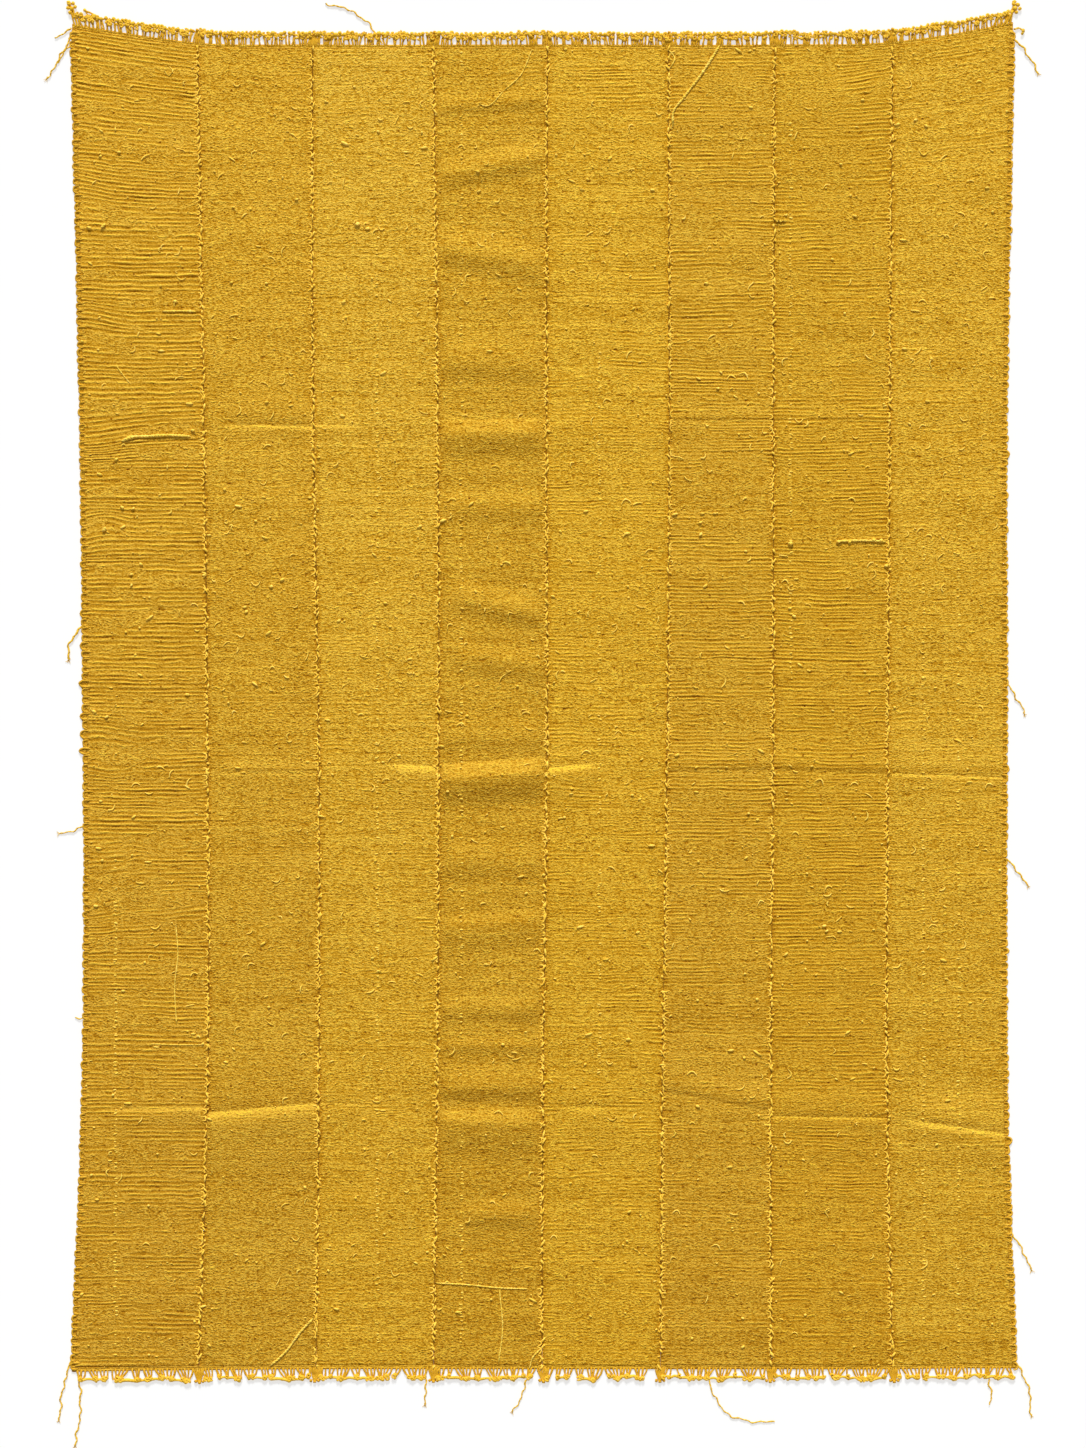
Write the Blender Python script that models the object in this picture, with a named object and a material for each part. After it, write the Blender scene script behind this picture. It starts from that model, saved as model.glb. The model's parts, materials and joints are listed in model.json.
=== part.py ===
# A large cloth of eight hand-woven strips, sewn side by side and laid flat, with looped fringes
# at both ends and overcast edges down both sides. Metres, +Z up. The origin is on the floor under
# the cloth's middle, and +Y points to its top end.
import math
import random
from bisect import bisect_right
from collections import namedtuple

import bmesh
import bpy
import numpy

# Driving sizes
STRIP_COUNT = 8
CLOTH_THICKNESS = 0.0020
PIECE_GAP = 0.0003
EDGING_WIDTH = 0.0040
HEADING_WIDTH = 0.0050
YARN_RADIUS = 0.0011
LOOPS_PER_STRIP = 14
LOOP_LENGTH = 0.0150
CORNER_LOOP_EXTRA = 0.0060
CORNER_LOOP_REACH = 0.0200
ROOT_DEPTH = 0.0015
ROW_SPACING = 0.0600
ROW_CLOSEST = 0.0060
SLACK_COLUMNS = 6
PLAIN_COLUMNS = 4
FRINGE_SEED = 7

# Where the side edges and the seams cross five heights of the cloth, from the bottom end to the top
STATION_Y = (-0.731, -0.430, 0.000, 0.340, 0.770)
LINE_X = (
    (-0.534, -0.522, -0.520, -0.524, -0.534),
    (-0.390, -0.380, -0.380, -0.384, -0.391),
    (-0.257, -0.254, -0.254, -0.260, -0.261),
    (-0.124, -0.120, -0.118, -0.119, -0.124),
    (-0.001, 0.000, 0.005, 0.004, 0.005),
    (0.133, 0.135, 0.141, 0.143, 0.142),
    (0.259, 0.258, 0.261, 0.261, 0.263),
    (0.396, 0.390, 0.391, 0.393, 0.396),
    (0.536, 0.526, 0.525, 0.525, 0.533),
)

# The woven ends: the top one sags between its two drawn-up corners
FELL_X = (-0.534, -0.480, -0.391, -0.261, 0.005, 0.263, 0.396, 0.470, 0.533)
FELL_TOP_Y = (0.793, 0.784, 0.772, 0.770, 0.770, 0.770, 0.773, 0.783, 0.795)
FELL_BOTTOM_Y = (-0.734, -0.733, -0.732, -0.731, -0.731, -0.731, -0.731, -0.730, -0.730)
FELL_BLEND = 0.100

# Puckers of the slack strip: crest height at its left and right seam, rise, how far each one
# reaches above and below its crest, and the part of the strip's width that it crosses
SLACK_STRIP = 4
Pucker = namedtuple("Pucker", "left_y right_y rise above below start stop")
PUCKERS = (
    Pucker(0.698, 0.708, 0.0020, 0.018, 0.014, 0.0, 1.0),
    Pucker(0.620, 0.643, 0.0050, 0.022, 0.022, 0.0, 1.0),
    Pucker(0.538, 0.518, 0.0050, 0.030, 0.028, 0.0, 1.0),
    Pucker(0.413, 0.405, 0.0045, 0.036, 0.026, 0.0, 1.0),
    Pucker(0.326, 0.326, 0.0075, 0.020, 0.030, 0.0, 1.0),
    Pucker(0.248, 0.248, 0.0030, 0.022, 0.024, 0.0, 1.0),
    Pucker(0.149, 0.122, 0.0050, 0.026, 0.024, 0.1, 1.0),
    Pucker(0.079, 0.064, 0.0040, 0.022, 0.026, 0.1, 1.0),
    Pucker(-0.015, -0.015, 0.0030, 0.028, 0.014, 0.0, 1.0),
    Pucker(-0.063, -0.057, 0.0080, 0.019, 0.020, 0.0, 1.0),
    Pucker(-0.156, -0.156, 0.0025, 0.030, 0.026, 0.0, 1.0),
    Pucker(-0.233, -0.224, 0.0045, 0.018, 0.034, 0.0, 1.0),
    Pucker(-0.323, -0.323, 0.0030, 0.022, 0.018, 0.0, 1.0),
    Pucker(-0.365, -0.365, 0.0015, 0.012, 0.012, 0.0, 1.0),
    Pucker(-0.412, -0.411, 0.0045, 0.028, 0.018, 0.0, 1.0),
    Pucker(-0.451, -0.452, 0.0060, 0.019, 0.050, 0.0, 1.0),
    Pucker(-0.555, -0.555, 0.0025, 0.020, 0.020, 0.2, 1.0),
)
PUCKER_FADE = 0.25

# Creases from the folded cloth: each strip that one crosses, its height at that strip's left and
# right side, rise, half width, and whether it is a ridge or a valley between two low swells
Crease = namedtuple("Crease", "strip left_y right_y rise half_width valley")
CREASES = (
    Crease(1, -0.431, -0.431, 0.0012, 0.024, True),
    Crease(2, -0.431, -0.431, 0.0014, 0.024, True),
    Crease(2, 0.345, 0.345, 0.0014, 0.024, True),
    Crease(2, -0.053, -0.053, 0.0014, 0.024, True),
    Crease(3, 0.341, 0.341, 0.0012, 0.020, False),
    Crease(5, -0.043, -0.043, 0.0020, 0.014, False),
    Crease(6, 0.352, 0.352, 0.0014, 0.018, False),
    Crease(7, 0.352, 0.352, 0.0018, 0.018, False),
    Crease(6, -0.053, -0.053, 0.0012, 0.024, True),
    Crease(7, -0.053, -0.053, 0.0014, 0.024, True),
    Crease(8, -0.053, -0.053, 0.0014, 0.024, True),
    Crease(6, 0.713, 0.678, 0.0018, 0.024, False),
    Crease(7, 0.678, 0.721, 0.0018, 0.024, False),
    Crease(6, -0.391, -0.430, 0.0020, 0.020, False),
    Crease(7, -0.442, -0.447, 0.0018, 0.020, False),
    Crease(8, -0.447, -0.467, 0.0020, 0.020, False),
)

# Loose yarn ends: the node that each one leaves, its root, its tip, and how far it bows to the
# left of the line from root to tip
Thread = namedtuple("Thread", "node root_x root_y tip_x tip_y bow")
THREADS = (
    Thread("edging_left", -0.534, 0.788, -0.5535, 0.7780, 0.001),
    Thread("edging_left", -0.534, 0.780, -0.5615, 0.7313, 0.001),
    Thread("edging_left", -0.533, 0.770, -0.5501, 0.7484, -0.002),
    Thread("edging_left", -0.520, 0.112, -0.5376, 0.0730, -0.006),
    Thread("edging_left", -0.520, -0.115, -0.5467, -0.1252, 0.001),
    Thread("edging_left", -0.521, -0.333, -0.5300, -0.3325, 0.001),
    Thread("edging_left", -0.534, -0.720, -0.5478, -0.7891, -0.003),
    Thread("edging_right", 0.533, 0.787, 0.5438, 0.7857, 0.001),
    Thread("edging_right", 0.533, 0.776, 0.5603, 0.7370, 0.003),
    Thread("edging_right", 0.525, 0.047, 0.5455, 0.0119, 0.001),
    Thread("edging_right", 0.525, -0.153, 0.5490, -0.1830, 0.001),
    Thread("edging_right", 0.530, -0.575, 0.5535, -0.6180, 0.001),
    Thread("edging_right", 0.535, -0.722, 0.5523, -0.7835, 0.006),
    Thread("fringe_top_1", -0.5268, 0.790, -0.5360, 0.8175, 0.000),
    Thread("fringe_top_3", -0.1820, 0.770, -0.2464, 0.8160, -0.011),
    Thread("fringe_top_8", 0.5258, 0.792, 0.5342, 0.8175, 0.000),
    Thread("fringe_bottom_1", -0.5270, -0.733, -0.5308, -0.8175, 0.005),
    Thread("fringe_bottom_3", -0.1330, -0.731, -0.1330, -0.7710, 0.000),
    Thread("fringe_bottom_4", -0.0150, -0.731, -0.0334, -0.7790, 0.002),
    Thread("fringe_bottom_6", 0.1850, -0.731, 0.2623, -0.7902, -0.025),
    Thread("fringe_bottom_8", 0.5020, -0.730, 0.5070, -0.7710, 0.002),
)
THREAD_STEP = 0.012
THREAD_CLEARANCE = 0.0060

STRIP_COLOURS = (
    (0.56, 0.30, 0.023),
    (0.57, 0.31, 0.023),
    (0.61, 0.34, 0.026),
    (0.55, 0.30, 0.021),
    (0.60, 0.33, 0.023),
    (0.55, 0.30, 0.022),
    (0.55, 0.30, 0.021),
    (0.60, 0.33, 0.025),
)
FRINGE_COLOUR = (0.61, 0.32, 0.020)
EDGING_COLOUR = (0.50, 0.25, 0.016)
YARN_ROUGHNESS = 0.9


def clear_scene():
    for item in list(bpy.data.objects):
        bpy.data.objects.remove(item)


def new_collection(name):
    collection = bpy.data.collections.new(name)
    bpy.context.scene.collection.children.link(collection)
    return collection


def yarn_material(name, colour):
    material = bpy.data.materials.new(name)
    material.use_nodes = True
    shader = material.node_tree.nodes["Principled BSDF"]
    shader.inputs["Base Color"].default_value = (*colour, 1.0)
    shader.inputs["Roughness"].default_value = YARN_ROUGHNESS
    shader.inputs["Metallic"].default_value = 0.0
    return material


# A smooth line through a table's values, read at t
def along(stations, values, t):
    t = min(max(t, stations[0]), stations[-1])
    i = min(bisect_right(stations, t), len(stations) - 1) - 1
    span = stations[i + 1] - stations[i]
    s = (t - stations[i]) / span
    slopes = numpy.gradient(numpy.array(values), numpy.array(stations)) * span
    rest = 1.0 - s
    start = (1.0 + 2.0 * s) * rest * rest * values[i] + s * rest * rest * slopes[i]
    end = s * s * (3.0 - 2.0 * s) * values[i + 1] - s * s * rest * slopes[i + 1]
    return float(start + end)


def smooth_step(t):
    t = min(max(t, 0.0), 1.0)
    return t * t * (3.0 - 2.0 * t)


# A side edge or a seam, counted from the left, at a height of the cloth
def line_x(line, y):
    return along(STATION_Y, LINE_X[line], y)


def left_side(strip, y):
    if strip == 1:
        return line_x(0, y) + EDGING_WIDTH + PIECE_GAP
    return line_x(strip - 1, y) + PIECE_GAP / 2


def right_side(strip, y):
    if strip == STRIP_COUNT:
        return line_x(strip, y) - EDGING_WIDTH - PIECE_GAP
    return line_x(strip, y) - PIECE_GAP / 2


def top_fell(x):
    return along(FELL_X, FELL_TOP_Y, x)


def bottom_fell(x):
    return along(FELL_X, FELL_BOTTOM_Y, x)


# A level line of the cloth bends to follow the woven end that it comes near
def bent_y(x, y, inset):
    top = top_fell(x) - inset
    bottom = bottom_fell(x) + inset
    level_top = STATION_Y[-1] - inset
    level_bottom = STATION_Y[0] + inset
    near_top = smooth_step((y - level_top + FELL_BLEND) / FELL_BLEND)
    near_bottom = smooth_step((level_bottom + FELL_BLEND - y) / FELL_BLEND)
    return y + (top - level_top) * near_top + (bottom - level_bottom) * near_bottom


def ridge(distance, half_width):
    if abs(distance) >= half_width:
        return 0.0
    return math.cos(0.5 * math.pi * distance / half_width) ** 2


# Two low swells with the crease line on the floor between them
def valley(distance, half_width):
    return ridge(abs(distance) - half_width / 2, half_width / 2)


def crossing(share, start, stop):
    rise = smooth_step((share - start) / PUCKER_FADE)
    fall = smooth_step((stop - share) / PUCKER_FADE)
    return rise * fall


# How far the cloth's underside stands off the floor
def relief(strip, share, y):
    lift = 0.0
    for fold in folds_of(strip):
        distance = y - (fold.left_y + (fold.right_y - fold.left_y) * share)
        if isinstance(fold, Crease):
            profile = valley if fold.valley else ridge
            lift = max(lift, fold.rise * profile(distance, fold.half_width))
        else:
            reach = fold.above if distance > 0 else fold.below
            height = fold.rise * ridge(distance, reach)
            lift = max(lift, height * crossing(share, fold.start, fold.stop))
    return lift


def folds_of(strip):
    creases = [fold for fold in CREASES if fold.strip == strip]
    return creases + list(PUCKERS) if strip == SLACK_STRIP else creases


# Where a strip needs rows of points around a fold's crest
def fold_offsets(fold):
    if isinstance(fold, Pucker):
        above, below = fold.above, fold.below
    else:
        above = below = fold.half_width
    return 0.0, above / 2, -below / 2, above, -below


# Rows of a strip, as heights at its left and right side: some on every fold, the rest spread evenly
def strip_rows(strip, bottom, top):
    wanted = [
        (fold.left_y + offset, fold.right_y + offset)
        for fold in folds_of(strip)
        for offset in fold_offsets(fold)
    ]
    rows = [(bottom, bottom), (top, top)]
    for row in wanted:
        clear = all(
            abs(row[side] - other[side]) >= ROW_CLOSEST
            and (row[0] > other[0]) == (row[1] > other[1])
            for other in rows
            for side in (0, 1)
        )
        if clear:
            rows.append(row)
    rows.sort()
    filled = [rows[0]]
    for row in rows[1:]:
        last = filled[-1]
        steps = math.ceil((row[0] - last[0]) / ROW_SPACING)
        for step in range(1, steps + 1):
            share = step / steps
            filled.append(tuple(last[side] + (row[side] - last[side]) * share for side in (0, 1)))
    return filled


# A slab of cloth: a flat grid whose points are placed one by one, then raised by its thickness
def cloth_slab(name, columns, rows, place, material, collection):
    mesh = bpy.data.meshes.new(name)
    slab = bmesh.new()
    bmesh.ops.create_grid(slab, x_segments=columns, y_segments=rows, size=0.5)
    for vert in slab.verts:
        column = round((vert.co.x + 0.5) * columns)
        row = round((vert.co.y + 0.5) * rows)
        vert.co = place(column, row)
    raised = bmesh.ops.extrude_face_region(slab, geom=slab.faces[:])
    upper = [item for item in raised["geom"] if isinstance(item, bmesh.types.BMVert)]
    bmesh.ops.translate(slab, verts=upper, vec=(0.0, 0.0, CLOTH_THICKNESS))
    bmesh.ops.recalc_face_normals(slab, faces=slab.faces[:])
    slab.to_mesh(mesh)
    slab.free()
    mesh.materials.append(material)
    piece = bpy.data.objects.new(name, mesh)
    collection.objects.link(piece)
    return piece


def make_strip(strip, collection):
    inset = HEADING_WIDTH + PIECE_GAP
    rows = strip_rows(strip, STATION_Y[0] + inset, STATION_Y[-1] - inset)
    columns = SLACK_COLUMNS if strip == SLACK_STRIP else PLAIN_COLUMNS

    def place(column, row):
        share = column / columns
        left_y, right_y = rows[row]
        y = left_y + (right_y - left_y) * share
        left = left_side(strip, y)
        x = left + (right_side(strip, y) - left) * share
        return x, bent_y(x, y, inset), relief(strip, share, y)

    name = f"strip_{strip}"
    material = yarn_material(f"{name}_yarn", STRIP_COLOURS[strip - 1])
    return cloth_slab(name, columns, len(rows) - 1, place, material, collection)


# The overcast edge runs the cloth's whole length outside the first or the last strip
def make_edging(side, collection, guides):
    strip = 1 if side < 0 else STRIP_COUNT
    line = 0 if side < 0 else STRIP_COUNT
    share = 0.0 if side < 0 else 1.0
    inset = HEADING_WIDTH + PIECE_GAP
    rows = strip_rows(strip, STATION_Y[0] + inset, STATION_Y[-1] - inset)
    beside = [row[0 if side < 0 else 1] for row in rows]
    heights = [STATION_Y[0], *beside, STATION_Y[-1]]

    def place(column, row):
        y = heights[row]
        inward = EDGING_WIDTH * (column if side < 0 else 1 - column)
        x = line_x(line, y) - side * inward
        return x, bent_y(x, y, 0.0), relief(strip, share, y)

    name = "edging_left" if side < 0 else "edging_right"
    material = yarn_material(f"{name}_yarn", EDGING_COLOUR)
    edging = cloth_slab(name, 1, len(heights) - 1, place, material, collection)
    join_yarns(edging, [thread_path(thread) for thread in THREADS if thread.node == name], guides)
    return edging


# A loose yarn's points, starting a little inside the piece that holds it
def thread_path(thread):
    dx = thread.tip_x - thread.root_x
    dy = thread.tip_y - thread.root_y
    length = math.hypot(dx, dy)
    steps = max(2, round(length / THREAD_STEP))
    points = [anchor_point(thread)]
    for step in range(1, steps + 1):
        t = step / steps
        bow = 4.0 * t * (1.0 - t) * thread.bow / length
        points.append((thread.root_x + dx * t - dy * bow, thread.root_y + dy * t + dx * bow))
    return points


def anchor_point(thread):
    if thread.node.startswith("edging"):
        line = 0 if thread.root_x < 0 else STRIP_COUNT
        inward = math.copysign(ROOT_DEPTH, -thread.root_x)
        return line_x(line, thread.root_y) + inward, thread.root_y
    inward = math.copysign(ROOT_DEPTH, -thread.root_y)
    return thread.root_x, thread.root_y + inward


# One uncut warp loop: out along one leg, round its end and back along the other
def loop_path(x, fell, direction, spacing, length, lean):
    leg = spacing / 2
    root = fell - direction * ROOT_DEPTH
    shoulder = fell + direction * length * 0.75
    tip = fell + direction * length
    return [
        (x - leg, root),
        (x - leg + lean * 0.75, shoulder),
        (x + lean, tip),
        (x + leg + lean * 0.75, shoulder),
        (x + leg, root),
    ]


def clear_of(path, loop):
    return all(
        math.hypot(point[0] - other[0], point[1] - other[1]) > THREAD_CLEARANCE
        for point in path
        for other in loop
    )


def dense(path):
    points = []
    for start, end in zip(path, path[1:]):
        for step in range(6):
            t = step / 6
            points.append((start[0] + (end[0] - start[0]) * t, start[1] + (end[1] - start[1]) * t))
    return points + [path[-1]]


def fringe_loops(strip, direction, threads):
    fell = top_fell if direction > 0 else bottom_fell
    end_y = STATION_Y[-1] if direction > 0 else STATION_Y[0]
    left = left_side(strip, end_y)
    pitch = (right_side(strip, end_y) - left) / LOOPS_PER_STRIP
    random_source = random.Random(FRINGE_SEED * strip + direction)
    paths = []
    for index in range(LOOPS_PER_STRIP):
        x = left + pitch * (index + 0.5)
        corner = min(x - LINE_X[0][-1], LINE_X[-1][-1] - x)
        length = LOOP_LENGTH * random_source.uniform(0.85, 1.1)
        if direction > 0:
            length += CORNER_LOOP_EXTRA * math.exp(-corner / CORNER_LOOP_REACH)
        lean = random_source.uniform(-0.0009, 0.0009)
        loop = loop_path(x, fell(x), direction, pitch / 2, length, lean)
        if all(clear_of(dense(thread), dense(loop)) for thread in threads):
            paths.append(loop)
    return paths + threads


# A heading strip along one woven end, with the loops and loose yarns fused into it
def make_fringe(strip, direction, collection, guides):
    end = "top" if direction > 0 else "bottom"
    name = f"fringe_{end}_{strip}"
    fell = top_fell if direction > 0 else bottom_fell
    end_y = STATION_Y[-1] if direction > 0 else STATION_Y[0]
    left = left_side(strip, end_y)
    right = right_side(strip, end_y)

    def place(column, row):
        x = left + (right - left) * column / PLAIN_COLUMNS
        outward = row if direction > 0 else 1 - row
        return x, fell(x) - direction * HEADING_WIDTH * (1 - outward), 0.0

    material = yarn_material(f"{name}_yarn", FRINGE_COLOUR)
    fringe = cloth_slab(name, PLAIN_COLUMNS, 1, place, material, collection)
    threads = [thread_path(thread) for thread in THREADS if thread.node == name]
    join_yarns(fringe, fringe_loops(strip, direction, threads), guides)
    return fringe


# The yarns' three-sided section, lying on its flat side
def yarn_section(guides):
    curve = bpy.data.curves.new("yarn_section", "CURVE")
    spline = curve.splines.new("POLY")
    spline.points.add(2)
    for index, point in enumerate(spline.points):
        angle = math.radians(90 + 120 * index)
        point.co = (YARN_RADIUS * math.cos(angle), YARN_RADIUS * math.sin(angle), 0.0, 1.0)
    spline.use_cyclic_u = True
    section = bpy.data.objects.new("yarn_section", curve)
    guides.objects.link(section)
    section.hide_render = True
    section.display_type = "WIRE"
    return section


# Yarns along the given paths, made one mesh and joined to the piece that holds them
def join_yarns(holder, paths, guides):
    curve = bpy.data.curves.new(f"{holder.name}_paths", "CURVE")
    curve.dimensions = "2D"
    curve.fill_mode = "NONE"
    curve.bevel_mode = "OBJECT"
    curve.bevel_object = bpy.data.objects["yarn_section"]
    curve.use_fill_caps = True
    for path in paths:
        spline = curve.splines.new("POLY")
        spline.points.add(len(path) - 1)
        for point, place in zip(spline.points, path):
            point.co = (*place, 0.0, 1.0)
    drawn = bpy.data.objects.new(f"{holder.name}_drawn", curve)
    guides.objects.link(drawn)
    drawn.location.z = YARN_RADIUS / 2
    bpy.context.view_layer.update()
    depsgraph = bpy.context.evaluated_depsgraph_get()
    mesh = bpy.data.meshes.new_from_object(drawn.evaluated_get(depsgraph))
    welded = bmesh.new()
    welded.from_mesh(mesh)
    bmesh.ops.remove_doubles(welded, verts=welded.verts[:], dist=0.00001)
    bmesh.ops.recalc_face_normals(welded, faces=welded.faces[:])
    welded.to_mesh(mesh)
    welded.free()
    yarns = bpy.data.objects.new(f"{holder.name}_yarns", mesh)
    yarns.matrix_world = drawn.matrix_world.copy()
    yarns.hide_render = True
    yarns.display_type = "WIRE"
    guides.objects.link(yarns)
    bpy.data.objects.remove(drawn)
    union = holder.modifiers.new("yarns", "BOOLEAN")
    union.operation = "UNION"
    union.solver = "EXACT"
    union.object = yarns


def main():
    clear_scene()
    cloth = new_collection("mud_cloth")
    guides = new_collection("guides")
    yarn_section(guides)
    for strip in range(1, STRIP_COUNT + 1):
        make_strip(strip, cloth)
        make_fringe(strip, 1, cloth, guides)
        make_fringe(strip, -1, cloth, guides)
    make_edging(-1, cloth, guides)
    make_edging(1, cloth, guides)


main()
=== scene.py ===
# A large ochre mud cloth of eight hand-woven strips, laid flat on a pale floor and seen from above
import json
import math
import random

import bpy
import numpy as np
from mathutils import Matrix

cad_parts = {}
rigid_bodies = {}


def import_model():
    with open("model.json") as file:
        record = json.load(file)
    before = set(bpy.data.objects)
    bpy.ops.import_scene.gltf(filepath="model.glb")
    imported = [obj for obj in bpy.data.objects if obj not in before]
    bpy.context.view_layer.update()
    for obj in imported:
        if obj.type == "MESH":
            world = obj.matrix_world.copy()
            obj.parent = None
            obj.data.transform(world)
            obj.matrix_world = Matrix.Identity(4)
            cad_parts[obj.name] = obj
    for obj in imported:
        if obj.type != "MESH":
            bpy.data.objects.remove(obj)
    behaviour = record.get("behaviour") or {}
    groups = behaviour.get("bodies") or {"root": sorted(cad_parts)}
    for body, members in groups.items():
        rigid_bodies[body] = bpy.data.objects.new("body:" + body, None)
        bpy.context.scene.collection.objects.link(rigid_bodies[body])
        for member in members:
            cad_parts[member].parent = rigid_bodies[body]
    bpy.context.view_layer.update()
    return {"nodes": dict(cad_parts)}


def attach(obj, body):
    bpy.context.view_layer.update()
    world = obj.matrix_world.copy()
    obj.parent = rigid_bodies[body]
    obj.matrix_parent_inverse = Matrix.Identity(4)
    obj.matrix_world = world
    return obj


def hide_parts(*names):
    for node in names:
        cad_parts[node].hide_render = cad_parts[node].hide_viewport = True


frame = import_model()
print("frame loaded:", len(frame["nodes"]), "nodes")

# Outline of the cloth in metres, as the solids have it, with a narrower gap between the strips
cloth = {
    "strips": 8,
    "thickness": 0.0020,
    "gap": 0.0001,
    "edgingWidth": 0.0040,
    "headingWidth": 0.0050,
    "stationY": (-0.731, -0.430, 0.000, 0.340, 0.770),
    "lineX": (
        (-0.534, -0.522, -0.520, -0.524, -0.534),
        (-0.390, -0.380, -0.380, -0.384, -0.391),
        (-0.257, -0.254, -0.254, -0.260, -0.261),
        (-0.124, -0.120, -0.118, -0.119, -0.124),
        (-0.001, 0.000, 0.005, 0.004, 0.005),
        (0.133, 0.135, 0.141, 0.143, 0.142),
        (0.259, 0.258, 0.261, 0.261, 0.263),
        (0.396, 0.390, 0.391, 0.393, 0.396),
        (0.536, 0.526, 0.525, 0.525, 0.533),
    ),
    "fellX": (-0.534, -0.480, -0.391, -0.261, 0.005, 0.263, 0.396, 0.470, 0.533),
    "fellTopY": (0.793, 0.784, 0.772, 0.770, 0.770, 0.770, 0.773, 0.783, 0.795),
    "fellBottomY": (-0.734, -0.733, -0.732, -0.731, -0.731, -0.731, -0.731, -0.730, -0.730),
    "fellBlend": 0.260,  # how far in from the ends the weft lines still follow them
    "slackStrip": 4,
    "creaseFade": 0.2,
    "puckerFade": 0.13,
    "puckerHeld": 0.22,  # share of a pucker's rise that is left at the seams
}

# Puckers of the slack strip: crest height at its left and right seam, rise, reach above and below,
# part of the width that it crosses, and how sharp its crest is
puckers = (
    (0.698, 0.708, 0.0020, 0.018, 0.014, 0.0, 1.0, 0.0),
    (0.620, 0.643, 0.0036, 0.022, 0.022, 0.0, 1.0, 0.2),
    (0.538, 0.518, 0.0040, 0.030, 0.028, 0.0, 1.0, 0.2),
    (0.413, 0.405, 0.0034, 0.036, 0.026, 0.0, 1.0, 0.0),
    (0.328, 0.330, 0.0058, 0.018, 0.034, 0.0, 1.0, 0.8),
    (0.248, 0.248, 0.0022, 0.022, 0.024, 0.0, 1.0, 0.0),
    (0.149, 0.122, 0.0036, 0.026, 0.024, 0.1, 1.0, 0.2),
    (0.079, 0.064, 0.0028, 0.022, 0.026, 0.1, 1.0, 0.0),
    (-0.015, -0.015, 0.0018, 0.028, 0.020, 0.0, 1.0, 0.0),
    (-0.063, -0.055, 0.0074, 0.019, 0.038, 0.0, 1.0, 1.0),
    (-0.156, -0.156, 0.0025, 0.030, 0.026, 0.0, 1.0, 0.0),
    (-0.233, -0.224, 0.0032, 0.018, 0.034, 0.0, 1.0, 0.3),
    (-0.323, -0.323, 0.0022, 0.022, 0.018, 0.0, 1.0, 0.0),
    (-0.365, -0.365, 0.0015, 0.012, 0.012, 0.0, 1.0, 0.0),
    (-0.412, -0.411, 0.0036, 0.028, 0.018, 0.0, 1.0, 0.5),
    (-0.451, -0.452, 0.0050, 0.019, 0.050, 0.0, 1.0, 0.5),
    (-0.555, -0.555, 0.0025, 0.020, 0.020, 0.2, 1.0, 0.0),
)

# Creases: strip, height at its left and right side, rise above and below the line, how far off the
# line each crest stands, and the part of the width that it crosses
creases = (
    (2, 0.3400, 0.3370, 0.0013, 0.0012, 0.015, 0.0060, 0.10, 1.0),
    (3, 0.3390, 0.3340, 0.0004, 0.0009, 0.006, 0.0050, 0.0, 0.45),
    (5, 0.3420, 0.3480, 0.0003, 0.0006, 0.006, 0.0060, 0.0, 0.30),
    (6, 0.3440, 0.3440, 0.0008, 0.0004, 0.004, 0.006, 0.0, 1.0),
    (7, 0.3450, 0.3430, 0.0008, 0.0004, 0.004, 0.008, 0.0, 1.0),
    (1, -0.0500, -0.0520, 0.0005, 0.0005, 0.006, 0.006, 0.6, 1.0),
    (2, -0.0540, -0.0540, 0.0010, 0.0004, 0.004, 0.006, 0.1, 1.0),
    (3, -0.0400, -0.0480, 0.0006, 0.0026, 0.008, 0.014, 0.5, 1.0),
    (5, -0.0500, -0.0350, 0.0006, 0.0028, 0.008, 0.012, 0.0, 0.48),
    (6, -0.0540, -0.0520, 0.0014, 0.0004, 0.009, 0.012, 0.0, 1.0),
    (7, -0.0520, -0.0560, 0.0014, 0.0005, 0.008, 0.012, 0.0, 1.0),
    (8, -0.0560, -0.0600, 0.0013, 0.0009, 0.011, 0.006, 0.0, 1.0),
    (1, -0.4360, -0.4340, 0.0007, 0.0014, 0.010, 0.008, 0.1, 1.0),
    (2, -0.4400, -0.4290, 0.0011, 0.0034, 0.014, 0.016, 0.0, 1.0),
    (3, -0.4290, -0.4330, 0.0006, 0.0008, 0.008, 0.010, 0.0, 0.5),
    (5, -0.4330, -0.4350, 0.0007, 0.0014, 0.010, 0.014, 0.1, 0.7),
    (6, -0.4160, -0.4380, 0.0019, 0.0004, 0.013, 0.012, 0.0, 1.0),
    (7, -0.4440, -0.4460, 0.0012, 0.0013, 0.009, 0.007, 0.0, 1.0),
    (8, -0.4440, -0.4640, 0.0014, 0.0020, 0.009, 0.009, 0.1, 1.0),
)

# Broad soft swells: strip, place, half width, half height and rise
swells = (
    (6, 0.170, 0.700, 0.060, 0.030, 0.0012),
    (7, 0.335, 0.700, 0.070, 0.036, 0.0016),
    (7, 0.300, 0.640, 0.060, 0.030, 0.0009),
    (5, 0.070, 0.330, 0.070, 0.030, 0.0008),
    (8, 0.470, 0.590, 0.060, 0.040, 0.0008),
    (2, -0.320, 0.470, 0.060, 0.050, 0.0006),
    (6, 0.200, -0.300, 0.060, 0.050, 0.0006),
)

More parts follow.
